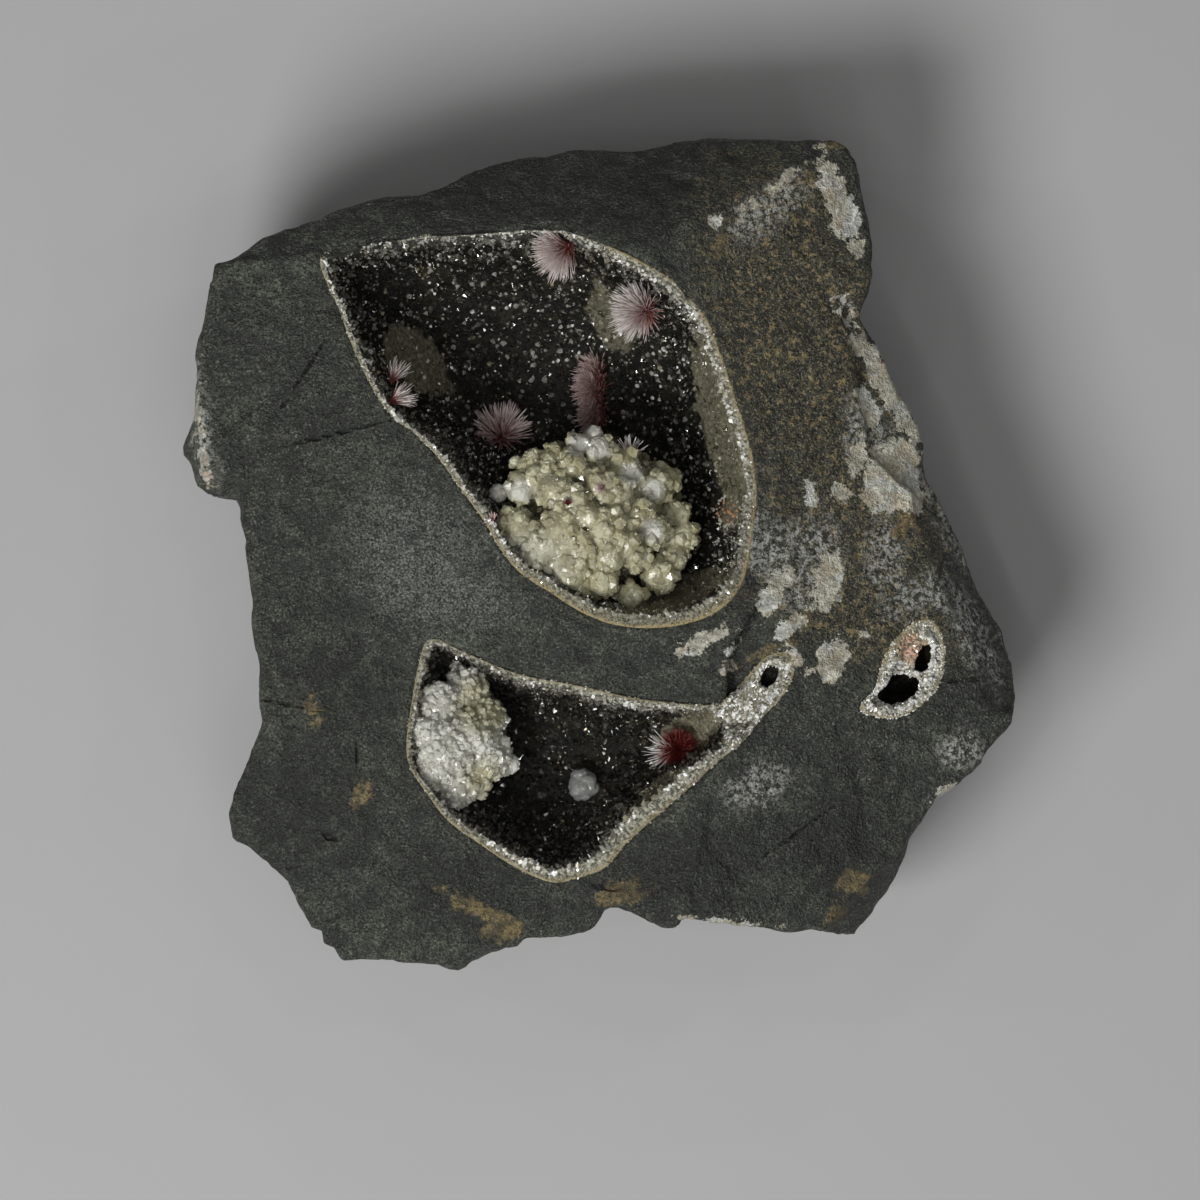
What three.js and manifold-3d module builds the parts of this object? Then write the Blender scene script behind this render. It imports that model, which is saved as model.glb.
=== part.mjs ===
import * as THREE from "three";
import { mergeVertices } from "three/addons/utils/BufferGeometryUtils.js";
import Module from "manifold-3d";

// Natrolite on matrix: a hand-sized lump of dark basalt, broken open across three gas pockets that are
// lined with druzy quartz, with glassy crystal clusters and pink and white natrolite sprays inside.
// The lump lies on its flat broken back. X runs right and Y up the specimen as its face is looked at,
// Z runs out of the face, and the origin is under the middle of the outline. Sizes are in millimetres.

const wasm = await Module();
wasm.setup();

const touchGap = 0.35; // between pieces that grew on each other
const toolTop = 80; // above every face, where the pockets' cutting shapes end
const skyHeight = 900; // where the cuts for the broken faces end, above the steepest of them
const faceHeight = 54; // the main broken face above the back

const finish = (color, roughness) => new THREE.MeshStandardMaterial({ color, roughness, metalness: 0 });
const basalt = finish(0x3b3e3a, 0.85);
const druzyQuartz = finish(0x6e716c, 0.25);
const paleCrystal = finish(0xc3c0a2, 0.3);
const whiteCrystal = finish(0xb9bdb6, 0.35);
const natrolite = finish(0xc49c98, 0.6);

// The broken outline of the lump, clockwise from the top left corner.
const outline = [
  [-61.8, 46.3], [-59.1, 47.1], [-54, 50.2], [-47.3, 52.6], [-42.3, 55.3], [-36.7, 56.7],
  [-28.7, 57.8], [-24.7, 59.4], [-20.1, 61.7], [-12.9, 63.4], [-3.9, 64.7], [6.5, 65],
  [13.2, 66], [17.2, 67], [23.8, 66.8], [31.3, 66], [37.2, 66.3], [39.6, 65.5], [41.4, 63],
  [42.8, 56.7], [43.9, 49.7], [43.9, 43.3], [41.8, 38], [44.2, 34.5], [48.1, 26.2],
  [51.1, 20.6], [52.7, 16.7], [52.4, 15.4], [52.9, 12.1], [57.2, 3], [62, -7.6],
  [64.6, -12.6], [66.8, -19.9], [67.1, -23.8], [66.3, -27.6], [63.6, -30.5], [61.2, -34.2],
  [58.6, -35.8], [57, -37.8], [54.6, -39.6], [49.4, -46.2], [48.6, -49.7], [47.6, -52.9],
  [43.9, -58.3], [42, -60.6], [41.2, -62.3], [33.8, -60.7], [30.2, -61.2], [25.7, -60.4],
  [13.4, -58.6], [12.2, -60.7], [10.5, -60.6], [5.5, -58], [3.3, -57], [0.7, -57],
  [-0.4, -59.1], [-1.8, -60.9], [-5.8, -61.7], [-11.9, -61.8], [-13.2, -63.3],
  [-17.7, -63.9], [-22.5, -67], [-27.1, -66.2], [-36.2, -65.4], [-41.2, -65.5],
  [-42.6, -63.4], [-44.2, -62.8], [-44.6, -60.7], [-46.3, -60.2], [-48.6, -56.2],
  [-50.2, -52.7], [-52.9, -50], [-56.4, -47.3], [-58.8, -46.2], [-59.3, -42.2],
  [-58.8, -38.5], [-56.4, -33.7], [-53.8, -27.4], [-54.3, -23.8], [-54.5, -17.4],
  [-55.4, -11], [-56.7, -1], [-57.7, 6], [-58.3, 8.9], [-61.8, 9], [-64.7, 11],
  [-65.8, 14], [-67.1, 16.2], [-66.2, 18.3], [-64.9, 21.7], [-64.6, 25.8], [-64.4, 31.6],
  [-63, 41],
];

// How far the sides pull in towards the back: height, pull, and how much the pull varies.
const sideProfile = [
  { z: 0, pull: 8, vary: 3 },
  { z: 9, pull: 2.6, vary: 1.8 },
  { z: 23, pull: 0, vary: 0 },
  { z: 36, pull: 0, vary: 0 },
  { z: toolTop - 5, pull: 0, vary: 0 },
];

// The broken faces. Each cuts what stands above its plane, which passes through `at` and rises by
// `rise` per millimetre along X and Y. A face with a region cuts only inside that outline.
const brokenFaces = [
  { name: "main", at: [0, 0, faceHeight], rise: [0.01, 0] },
  {
    name: "upper left",
    at: [-44, 18.6, faceHeight],
    rise: [0.043, -0.133],
    region: [[-90, 3.8], [-32.7, 22.3], [-20, 60], [-90, 60]],
  },
  { name: "top slope", at: [16, 50, 53.5], rise: [0.09, -0.84] },
  {
    name: "brown weathered",
    at: [20, 0, faceHeight],
    rise: [-0.3, -0.094],
    region: [[0, 90], [0, -8], [22, -12], [43, -21], [90, -21], [90, 90]],
  },
  { name: "lower right", at: [24.3, -16, faceHeight], rise: [-0.241, 0.062] },
  {
    name: "pale band",
    at: [41, 27, 44],
    rise: [-0.587, -0.124],
    region: [[39, 40], [90, 40], [90, 0], [57.5, 2.5], [43.5, 16]],
  },
  {
    name: "right edge",
    at: [58.7, -7.5, 41],
    rise: [-1.11, -0.44],
    region: [[50, 10], [90, 10], [90, -26], [60, -26]],
  },
  { name: "shadowed corner", at: [43.2, -53.5, 46.5], rise: [-1.61, 1.34] },
  {
    name: "lower left",
    at: [-40, -40, 53.7],
    rise: [0.16, 0.03],
    region: [[-90, -20], [-54, -27], [-39.3, -32], [-40.5, -38.5], [-44, -90], [-90, -90]],
  },
  {
    name: "left knob",
    at: [-63.8, 18, 52.5],
    rise: [1.7, 0.1],
    region: [[-90, 27], [-64.6, 26], [-63, 11], [-90, 5]],
  },
  {
    name: "under the knob",
    at: [-62, 11.8, 52],
    rise: [0, 1.7],
    region: [[-70, 13], [-57.6, 12], [-57.6, 0], [-70, 0]],
  },
  {
    name: "beside the tongue",
    at: [31, -15, 52.3],
    rise: [0.2, -0.05],
    region: [[20.3, -24.6], [20.8, -17], [25, -9], [31, -8], [38, -15], [36, -21], [27, -24]],
  },
];

// The gas pockets: the rim on the broken face, the deepest point, the height of the rim, the depth below
// it, and how thick the lining is. `belly` is how square the pocket's section is, and `spokes` the number
// of facets around it.
const upperPocket = {
  rim: [
    [-44.7, 47.4], [-37.5, 50.2], [-27.1, 51.3], [-15.9, 52.1], [-9.5, 52.7], [-3.9, 51.6],
    [1.7, 48.6], [8.1, 45.4], [12.9, 42.2], [16.9, 37.4], [19.3, 31.4], [21.7, 24.2],
    [23.8, 17.8], [25, 9.8], [24.1, 1.8], [23, -3.8], [20.6, -7.8], [16.1, -10.6],
    [9.7, -11.9], [3.3, -11.6], [-2.3, -9.7], [-7.9, -6.2], [-12.7, -3], [-15.9, 1],
    [-18.2, 5], [-21.5, 9.5], [-25.5, 15], [-29, 18.6], [-32.7, 21.4], [-35.9, 25.8],
    [-39.1, 32.2], [-41.5, 38.6],
  ],
  centre: [3, 17],
  mouth: 54,
  depth: 31,
  belly: 1.7,
  lining: 1.7,
  spokes: 32,
};
const lowerPocket = {
  rim: [
    [-26.8, -14.2], [-20.7, -16.7], [-12.7, -19.9], [-3.1, -21.8], [6.5, -23.8],
    [16.1, -24.7], [19.6, -24.7], [23.3, -29.4], [18.5, -33.7], [14.5, -37.4],
    [8.9, -42.2], [4.1, -46.5], [0.9, -50.2], [-3.9, -52.1], [-7.9, -52.6], [-13.5, -50.2],
    [-19.1, -46.5], [-23.9, -43], [-27.1, -39], [-30, -34.6], [-30.6, -30.5],
    [-29.7, -23.8], [-28.7, -18.2],
  ],
  centre: [-7, -34],
  mouth: 54,
  depth: 22,
  belly: 2,
  lining: 2.2,
  spokes: 24,
};
const lobePocket = {
  rim: [
    [18.2, -26.6], [23.3, -20.9], [27, -16.9], [29.7, -16.6], [31, -18.6], [29.7, -22.2],
    [26, -26.3], [21.5, -31],
  ],
  centre: [26.2, -21.4],
  mouth: 52.5,
  depth: 8,
  belly: 2,
  lining: 2.1,
  spokes: 10,
};
const sidePocket = {
  rim: [
    [42, -25], [44.6, -21.8], [45.8, -17.7], [48.1, -13.8], [51.3, -11.3], [53.5, -11.3],
    [55.1, -14.2], [55.3, -17.7], [54.2, -21.5], [51.6, -24.4], [48.1, -26.3], [44.9, -26.3],
  ],
  centre: [50, -19.5],
  mouth: 46,
  depth: 10,
  belly: 2,
  lining: 2.3,
  spokes: 14,
};

// The glassy balls of the two clusters: place and radius. Their height follows a dome.
const upperCluster = {
  dome: { centre: [-4, 3], top: 53.4, fall: 7.5, reach: 15 },
  body: { centre: [-1.3, 5.6], radii: [14.3, 13], top: 49.5 },
  balls: [
    [-0.9, 18.8, 1.8], [-3.4, 17.2, 2.2], [-0.1, 16.4, 2.4], [-4.4, 13.7, 2.4], [-7.6, 15.4, 1.8],
    [-10.6, 14, 2.2], [-8.6, 13, 1.9], [-16, 9.4, 1.7], [-12.6, 9.8, 2.4],
    [-0.2, 11, 2.4], [-7.3, 9.8, 2.9], [-4.7, 8.2, 2.9], [5.2, 12.4, 2.2], [8.7, 10, 2.9],
    [2.5, 9.5, 3.2], [3.8, 14, 2.5], [1.4, 3.9, 3.5], [8.4, 3.4, 3],
    [13.3, 2.5, 2.6], [6, -0.7, 2.4], [-6, 3.9, 3.5], [-13.4, 3.9, 3.2], [-8.6, 1.5, 3.2],
    [-3.6, 0.2, 2.9], [1.4, -0.6, 2.9], [-10.5, -2.2, 2.9], [-4.7, -3, 3.2], [0.1, -4.7, 2.9],
    [5, -6.8, 2.4], [9.4, -3.4, 2.9], [11.9, -1, 2.6], [-3.6, -6.3, 2.4], [-7, -4.9, 2.2],
  ],
};
const lowerCluster = {
  dome: { centre: [-24.5, -30.5], top: 52.6, fall: 6.5, reach: 10 },
  body: { centre: [-22.6, -29.5], radii: [7.8, 10], top: 49.5 },
  balls: [
    [-24, -31.8, 5.2], [-25, -24.6, 3.8], [-20.7, -22.4, 3.4], [-22.3, -37.6, 3.3],
    [-17.8, -27, 3.4], [-17.2, -33.4, 3.3], [-13.6, -34.2, 1.8], [-14.6, -31, 1.7],
    [-19.2, -37.2, 2.4], [-26, -35.6, 2.8], [-22.6, -18.8, 2],
  ],
};

// The natrolite sprays: where each is rooted, how long its needles are, which way it points, and how
// wide it opens, from 0 for a half ball to 1 for a narrow tuft.
const sprays = [
  { name: "natrolite_spray_top", root: [-5.2, 48.6], length: 6, axis: [-0.75, -0.45, 0.6], narrow: 0.1 },
  { name: "natrolite_spray_right", root: [8, 38.8], length: 6.4, axis: [-0.7, -0.25, 0.7], narrow: 0.1 },
  { name: "natrolite_spray_tall_upper", root: [-0.4, 28.2], length: 4.4, axis: [-0.75, 0.2, 0.65], narrow: 0.1 },
  { name: "natrolite_spray_tall_lower", root: [-0.6, 22.6], length: 4.2, axis: [-0.7, -0.2, 0.7], narrow: 0.1 },
  { name: "natrolite_spray_left", root: [-16.6, 20.2], length: 5.6, axis: [0.1, 0.4, 0.9], narrow: 0.1 },
  { name: "natrolite_tuft_wall_upper", root: [-33.2, 27.2], length: 5, axis: [0.45, 0.75, 0.5], narrow: 0.6 },
  { name: "natrolite_tuft_wall_lower", root: [-33.2, 23.8], length: 4.4, axis: [0.85, 0.3, 0.45], narrow: 0.5 },
  { name: "natrolite_tuft_on_cluster", root: [5, 16.4], length: 3.4, lift: 14.5, axis: [0.05, 0.8, 0.6], narrow: 0.4 },
  { name: "natrolite_spray_lower_pocket", root: [12.8, -31.2], length: 5.6, axis: [-0.6, 0.25, 0.75], narrow: 0.1 },
];
// A clear ball that stands alone on the floor of the lower pocket.
const loneBall = { place: [-2.8, -37.8], radius: 2.7 };

// Repeatable random numbers from a seed.
function randomFrom(seed) {
  let state = seed;
  return () => {
    state = (state * 1664525 + 1013904223) % 4294967296;
    return state / 4294967296;
  };
}

// Smooth noise from -1 to 1 over space, one swell to a unit.
function noise(x, y, z) {
  const cell = [x, y, z].map(Math.floor);
  const [u, v, w] = [x - cell[0], y - cell[1], z - cell[2]].map((t) => t * t * (3 - 2 * t));
  const corner = (i, j, k) => {
    const h = Math.sin((cell[0] + i) * 127.1 + (cell[1] + j) * 311.7 + (cell[2] + k) * 74.7) * 43758.5453;
    return (h - Math.floor(h)) * 2 - 1;
  };
  const mix = THREE.MathUtils.lerp;
  const along = (j, k) => mix(corner(0, j, k), corner(1, j, k), u);
  return mix(mix(along(0, 0), along(1, 0), v), mix(along(0, 1), along(1, 1), v), w);
}

function toSolid(geometry) {
  const bare = geometry.clone();
  bare.deleteAttribute("normal");
  bare.deleteAttribute("uv");
  const merged = mergeVertices(bare, 1e-4);
  return new wasm.Manifold(
    new wasm.Mesh({
      numProp: 3,
      vertProperties: new Float32Array(merged.attributes.position.array),
      triVerts: new Uint32Array(merged.index.array),
    }),
  );
}

function toGeometry(solid) {
  const mesh = solid.getMesh();
  const position = new Float32Array(mesh.numVert * 3);
  for (let i = 0; i < mesh.numVert; i++) {
    position.set(mesh.vertProperties.subarray(i * mesh.numProp, i * mesh.numProp + 3), i * 3);
  }
  const geometry = new THREE.BufferGeometry();
  geometry.setAttribute("position", new THREE.BufferAttribute(position, 3));
  geometry.setIndex(new THREE.BufferAttribute(new Uint32Array(mesh.triVerts), 1));
  return geometry;
}

function geometryFrom(points, faces) {
  const geometry = new THREE.BufferGeometry();
  geometry.setAttribute("position", new THREE.Float32BufferAttribute(points.flat(), 3));
  geometry.setIndex(faces.flat());
  return geometry;
}

// A closed solid from rings of points that are all the same length, listed from the bottom up and each
// running anticlockwise. A ring of one point closes the end as a tip, and otherwise a fan closes it.
function loft(rings) {
  const points = [];
  const starts = rings.map((ring) => {
    const start = points.length;
    points.push(...ring);
    return start;
  });
  const faces = [];
  const fan = (ring, start, flip) => {
    const n = ring.length;
    const middle = points.length;
    const sum = ring.reduce((a, p) => [a[0] + p[0], a[1] + p[1], a[2] + p[2]], [0, 0, 0]);
    points.push(sum.map((v) => v / n));
    for (let i = 0; i < n; i++) {
      const j = (i + 1) % n;
      faces.push(flip ? [middle, start + j, start + i] : [middle, start + i, start + j]);
    }
  };
  for (let r = 0; r + 1 < rings.length; r++) {
    const n = Math.max(rings[r].length, rings[r + 1].length);
    for (let i = 0; i < n; i++) {
      const j = (i + 1) % n;
      const [a, b] = [starts[r], starts[r + 1]];
      if (rings[r].length > 1) faces.push([a + i, a + j, rings[r + 1].length > 1 ? b + j : b]);
      if (rings[r + 1].length > 1) faces.push([rings[r].length > 1 ? a + i : a, b + j, b + i]);
    }
  }
  if (rings[0].length > 1) fan(rings[0], starts[0], true);
  if (rings.at(-1).length > 1) fan(rings.at(-1), starts.at(-1), false);
  return geometryFrom(points, faces);
}

// Splits every edge at its middle that is longer than `longest` allows at its height.
function refine(geometry, longest) {
  const points = [];
  const position = geometry.attributes.position;
  for (let i = 0; i < position.count; i++) points.push([position.getX(i), position.getY(i), position.getZ(i)]);
  let faces = [];
  for (let i = 0; i < geometry.index.count; i += 3) {
    faces.push([geometry.index.getX(i), geometry.index.getX(i + 1), geometry.index.getX(i + 2)]);
  }
  const span = (a, b) => Math.hypot(...points[a].map((v, k) => v - points[b][k]));
  for (let split = true; split; ) {
    split = false;
    const middles = new Map();
    // Only an edge that is the longest of a face is split, so that faces stay well shaped.
    for (const face of faces) {
      const sides = face.map((a, k) => [a, face[(k + 1) % 3]]);
      const [a, b] = sides.reduce((most, side) => (span(...side) > span(...most) ? side : most));
      const key = a < b ? `${a}_${b}` : `${b}_${a}`;
      if (span(a, b) > longest(Math.max(points[a][2], points[b][2])) && !middles.has(key)) {
        middles.set(key, points.length);
        points.push(points[a].map((v, k) => (v + points[b][k]) / 2));
        split = true;
      }
    }
    const next = [];
    for (const face of faces) {
      const mids = face.map((a, k) => {
        const b = face[(k + 1) % 3];
        return middles.get(a < b ? `${a}_${b}` : `${b}_${a}`);
      });
      const cut = mids.filter((m) => m !== undefined).length;
      const turn = cut === 1 ? mids.findIndex((m) => m !== undefined) : mids.findIndex((m) => m === undefined);
      const first = Math.max(turn, 0);
      const [a, b, c] = [0, 1, 2].map((k) => face[(first + k) % 3]);
      const [ab, bc, ca] = [0, 1, 2].map((k) => mids[(first + k) % 3]);
      if (cut === 0) next.push(face);
      else if (cut === 1) next.push([a, ab, c], [ab, b, c]);
      else if (cut === 2) next.push([a, b, bc], [a, bc, ca], [ca, bc, c]);
      else next.push([a, ab, ca], [ab, b, bc], [ca, bc, c], [ab, bc, ca]);
    }
    faces = next;
  }
  return geometryFrom(points, faces);
}

// The back stays in large faces, the sides in middling ones, and the front is finer.
function longestEdge(height) {
  if (height < 0.01) return Infinity;
  return height < 37 ? 22 : 16;
}

// Uneven fracture: the faces swell and dip by up to about a millimetre, and the sides wander inwards.
function roughen(geometry) {
  const position = geometry.attributes.position;
  for (let i = 0; i < position.count; i++) {
    const [x, y, z] = [position.getX(i), position.getY(i), position.getZ(i)];
    const front = THREE.MathUtils.smoothstep(z, 28, 36);
    const side = THREE.MathUtils.smoothstep(z, 1, 8) * (1 - THREE.MathUtils.smoothstep(z, 14, 22));
    const swell = 0.75 * noise(x / 14, y / 14, 2.5) + 0.35 * noise(x / 6, y / 6, 7.5);
    const wander = 1 - 0.025 * side * (1 + noise(x / 9, y / 9, z / 9));
    position.setXYZ(i, x * wander, y * wander, z + front * swell);
  }
  return geometry;
}

// The lump's sides, straight up to above the faces, before it is broken.
function lumpColumn() {
  const anticlockwise = [...outline].reverse();
  const rings = sideProfile.map(({ z, pull, vary }, level) =>
    anticlockwise.map(([x, y], i) => {
      const turn = (i / outline.length) * Math.PI * 2;
      const wobble = noise(3 * Math.cos(turn) + 5, 3 * Math.sin(turn) + 5, level * 0.7);
      const size = Math.hypot(x, y);
      const keep = (size - pull - vary * wobble) / size;
      return [x * keep, y * keep, z];
    }),
  );
  return toSolid(loft(rings));
}

const wholeArea = [[-90, -90], [90, -90], [90, 90], [-90, 90]];

// What a broken face takes away: a prism over its region, from its plane up.
function aboveFace({ at, rise, region = wholeArea }) {
  const shape = new THREE.Shape(region.map(([x, y]) => new THREE.Vector2(x, y)));
  const prism = new THREE.ExtrudeGeometry(shape, { depth: 1, bevelEnabled: false });
  const position = prism.attributes.position;
  for (let i = 0; i < position.count; i++) {
    const [x, y] = [position.getX(i), position.getY(i)];
    const plane = at[2] + rise[0] * (x - at[0]) + rise[1] * (y - at[1]);
    position.setZ(i, position.getZ(i) < 0.5 ? plane : skyHeight);
  }
  return toSolid(prism);
}

// The pocket's rim as evenly spread points, anticlockwise.
function rimPoints(pocket, count) {
  const corners = pocket.rim.map(([x, y]) => new THREE.Vector3(x, y, 0));
  const curve = new THREE.CatmullRomCurve3(corners, true, "centripetal");
  return curve.getSpacedPoints(count).slice(0, count).reverse().map((p) => [p.x, p.y]);
}

// Share of the pocket's depth at a share of the way from its deepest point to its rim.
const bowl = (share, belly) => (1 - share ** 2.3) ** (1 / belly);

// The hollow of a pocket, up to above the faces. `inset` shrinks it evenly, `grain` gives its wall
// facets as of a coat of crystals.
function hollow(pocket, inset, { levels = [0.95, 0.8, 0.55], grain = 0, seed = 1 } = {}) {
  const random = randomFrom(seed);
  const [cx, cy] = pocket.centre;
  const rim = rimPoints(pocket, pocket.spokes).map(([x, y]) => {
    const span = Math.hypot(x - cx, y - cy);
    return [(x - cx) * (1 - inset / span), (y - cy) * (1 - inset / span)];
  });
  const depth = pocket.depth - inset;
  const jitter = () => grain * (random() * 2 - 1);
  const wall = levels.map((level) =>
    rim.map(([dx, dy]) => {
      const share = level + jitter() / Math.hypot(dx, dy);
      const z = pocket.mouth - depth * bowl(Math.min(level, 1), pocket.belly) + jitter();
      return [cx + dx * share, cy + dy * share, z];
    }),
  );
  const straightUp = (z) => rim.map(([dx, dy]) => [cx + dx, cy + dy, z]);
  const tip = [[cx, cy, pocket.mouth - depth]];
  return loft([tip, ...wall.reverse(), straightUp(pocket.mouth), straightUp(toolTop)]);
}

// The height of the lined pocket's floor at a place.
function floorAt(pocket, x, y) {
  const [cx, cy] = pocket.centre;
  const rim = rimPoints(pocket, 90);
  const angle = Math.atan2(y - cy, x - cx);
  const off = ([px, py]) => Math.abs(Math.atan2(Math.sin(Math.atan2(py - cy, px - cx) - angle),
    Math.cos(Math.atan2(py - cy, px - cx) - angle)));
  const nearest = rim.reduce((best, p) => (off(p) < off(best) ? p : best));
  const reach = Math.hypot(nearest[0] - cx, nearest[1] - cy) - pocket.lining;
  const share = Math.min(Math.hypot(x - cx, y - cy) / reach, 0.995);
  return pocket.mouth - (pocket.depth - pocket.lining) * bowl(share, pocket.belly);
}

// A ball with flat facets.
function facetedBall(radius, detail, unevenness, random) {
  const ball = mergeVertices(stripped(new THREE.IcosahedronGeometry(radius, detail)), 1e-3);
  const position = ball.attributes.position;
  for (let i = 0; i < position.count; i++) {
    const size = 1 + unevenness * (random() * 2 - 1);
    position.setXYZ(i, position.getX(i) * size, position.getY(i) * size, position.getZ(i) * size);
  }
  return ball;
}

function stripped(geometry) {
  geometry.deleteAttribute("normal");
  geometry.deleteAttribute("uv");
  return geometry;
}

// Glassy balls grown together on one body. `grow` swells them, to cut their neighbours clear.
function cluster({ dome, body, balls }, grow, seed) {
  const random = randomFrom(seed);
  const low = 14;
  const core = facetedBall(1, 1, 0.04, random);
  core.scale(body.radii[0] + grow, body.radii[1] + grow, (body.top - low) / 2 + grow);
  core.translate(body.centre[0], body.centre[1], (body.top + low) / 2);
  let joined = toSolid(core);
  for (const [x, y, r] of balls) {
    const away = Math.hypot(x - dome.centre[0], y - dome.centre[1]) / dome.reach;
    const round = r > 3.4;
    const ball = facetedBall((round ? 1 : 1.1) * r + grow, round ? 1 : 0, 0.07, random);
    ball.translate(x, y, dome.top - dome.fall * away ** 2 - r * 0.6);
    joined = joined.add(toSolid(ball));
  }
  return joined;
}

// A spray of needles as a spiny ball that is longest along its axis.
function spinySpray({ length, axis, narrow }, random) {
  const ball = facetedBall(1, length > 5 ? 2 : 1, 0, random);
  const main = new THREE.Vector3(...axis).normalize();
  const position = ball.attributes.position;
  const way = new THREE.Vector3();
  for (let i = 0; i < position.count; i++) {
    way.fromBufferAttribute(position, i).normalize();
    const along = THREE.MathUtils.smoothstep(way.dot(main), narrow - 0.45, narrow + 0.3);
    const spike = i % 2 ? 0.85 + 0.3 * random() : 0.5;
    way.multiplyScalar(length * (0.3 + 0.7 * along) * spike);
    position.setXYZ(i, way.x, way.y, way.z);
  }
  return ball;
}

// The largest body of a solid that a cut left in pieces.
function largestBody(solid) {
  return solid.decompose().reduce((most, s) => (s.volume() > most.volume() ? s : most));
}

const specimen = new THREE.Group();

function addPiece(name, solid, material) {
  const mesh = new THREE.Mesh(toGeometry(solid), material);
  mesh.name = name;
  specimen.add(mesh);
}

// The lump, whole over its pockets.
let unopened = lumpColumn();
for (const face of brokenFaces) unopened = unopened.subtract(aboveFace(face));
unopened = toSolid(roughen(refine(toGeometry(unopened), longestEdge)));

const linedPockets = [
  { name: "quartz_lining_upper_pocket", pockets: [upperPocket], grain: 0.5 },
  { name: "quartz_lining_lower_pocket", pockets: [lowerPocket, lobePocket], grain: 0.45 },
  { name: "quartz_lining_side_pocket", pockets: [sidePocket], grain: 0.4 },
];
const innerLevels = [0.975, 0.88, 0.68, 0.38];
const union = (solids) => solids.reduce((a, b) => a.add(b));

let matrix = unopened;
const spaces = linedPockets.map(({ name, pockets, grain }, k) => {
  const cut = (inset, options) =>
    union(pockets.map((p, i) => toSolid(hollow(p, inset(p), { seed: 11 * k + i + 3, ...options }))));
  matrix = matrix.subtract(cut(() => 0));
  const lining = unopened
    .intersect(cut(() => touchGap))
    .subtract(cut((p) => p.lining, { levels: innerLevels, grain }));
  addPiece(name, largestBody(lining), druzyQuartz);
  return cut((p) => p.lining + touchGap, { levels: innerLevels, grain });
});
addPiece("basalt_matrix", largestBody(matrix), basalt);

const [upperSpace, lowerSpace] = spaces;
addPiece("pale_crystal_cluster_upper", largestBody(cluster(upperCluster, 0, 5).intersect(upperSpace)), paleCrystal);
addPiece("white_crystal_cluster_lower", largestBody(cluster(lowerCluster, 0, 8).intersect(lowerSpace)), whiteCrystal);
const clustersSwollen = cluster(upperCluster, touchGap, 5).add(cluster(lowerCluster, touchGap, 8));

const ballRandom = randomFrom(21);
const ball = facetedBall(loneBall.radius, 1, 0.08, ballRandom);
ball.translate(...loneBall.place, floorAt(lowerPocket, ...loneBall.place) + loneBall.radius * 0.6);
addPiece("clear_ball_lower_pocket", largestBody(toSolid(ball).intersect(lowerSpace)), whiteCrystal);

const sprayRandom = randomFrom(33);
for (const spray of sprays) {
  const pocket = spray.name.includes("lower_pocket") ? lowerPocket : upperPocket;
  const space = pocket === lowerPocket ? lowerSpace : upperSpace;
  const needles = spinySpray(spray, sprayRandom);
  needles.translate(...spray.root, floorAt(pocket, ...spray.root) + (spray.lift ?? 0.4));
  addPiece(spray.name, largestBody(toSolid(needles).intersect(space).subtract(clustersSwollen)), natrolite);
}

export default specimen;
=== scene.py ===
import math
import bpy
import bmesh
import numpy as np
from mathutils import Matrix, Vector, noise
from mathutils.bvhtree import BVHTree


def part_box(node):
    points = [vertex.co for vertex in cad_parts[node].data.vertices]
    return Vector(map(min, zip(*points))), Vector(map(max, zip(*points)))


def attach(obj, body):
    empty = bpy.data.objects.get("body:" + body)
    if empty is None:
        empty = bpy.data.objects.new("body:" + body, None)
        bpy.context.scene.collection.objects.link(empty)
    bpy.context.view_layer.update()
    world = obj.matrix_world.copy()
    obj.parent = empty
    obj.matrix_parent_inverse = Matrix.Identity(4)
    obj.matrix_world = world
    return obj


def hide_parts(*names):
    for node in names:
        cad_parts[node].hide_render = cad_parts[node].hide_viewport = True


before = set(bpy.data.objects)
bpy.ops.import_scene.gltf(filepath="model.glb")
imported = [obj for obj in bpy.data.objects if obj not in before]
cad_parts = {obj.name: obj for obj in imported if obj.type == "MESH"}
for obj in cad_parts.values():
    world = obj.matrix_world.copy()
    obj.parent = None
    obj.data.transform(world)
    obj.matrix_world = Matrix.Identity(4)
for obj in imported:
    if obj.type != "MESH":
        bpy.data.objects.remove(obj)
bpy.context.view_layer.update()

# Natrolite on matrix, lying on its back with the camera straight above. Places are in millimetres
# on the specimen, x right and y up as the face is seen, and every mesh is stored in metres.
mm = 0.001


def newObject(name, data):
    made = bpy.data.objects.new(name, data)
    bpy.context.scene.collection.objects.link(made)
    return made


# The camera looks straight down on the face.
view = {
    "frameWidth": 192.0, "faceHeight": 54.0, "distance": 1500.0, "centre": (0.08, -7.76), "sensor": 36.0,
    "nearest": 0.05, "farthest": 20.0,
}

cameraData = bpy.data.cameras.new("camera")
cameraData.sensor_width = view["sensor"]
cameraData.lens = view["sensor"] * view["distance"] / view["frameWidth"]
cameraData.clip_start = view["nearest"]
cameraData.clip_end = view["farthest"]
camera = newObject("camera", cameraData)
camera.location = [c * mm for c in (*view["centre"], view["faceHeight"] + view["distance"])]
bpy.context.scene.camera = camera
print("camera placed")


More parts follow.
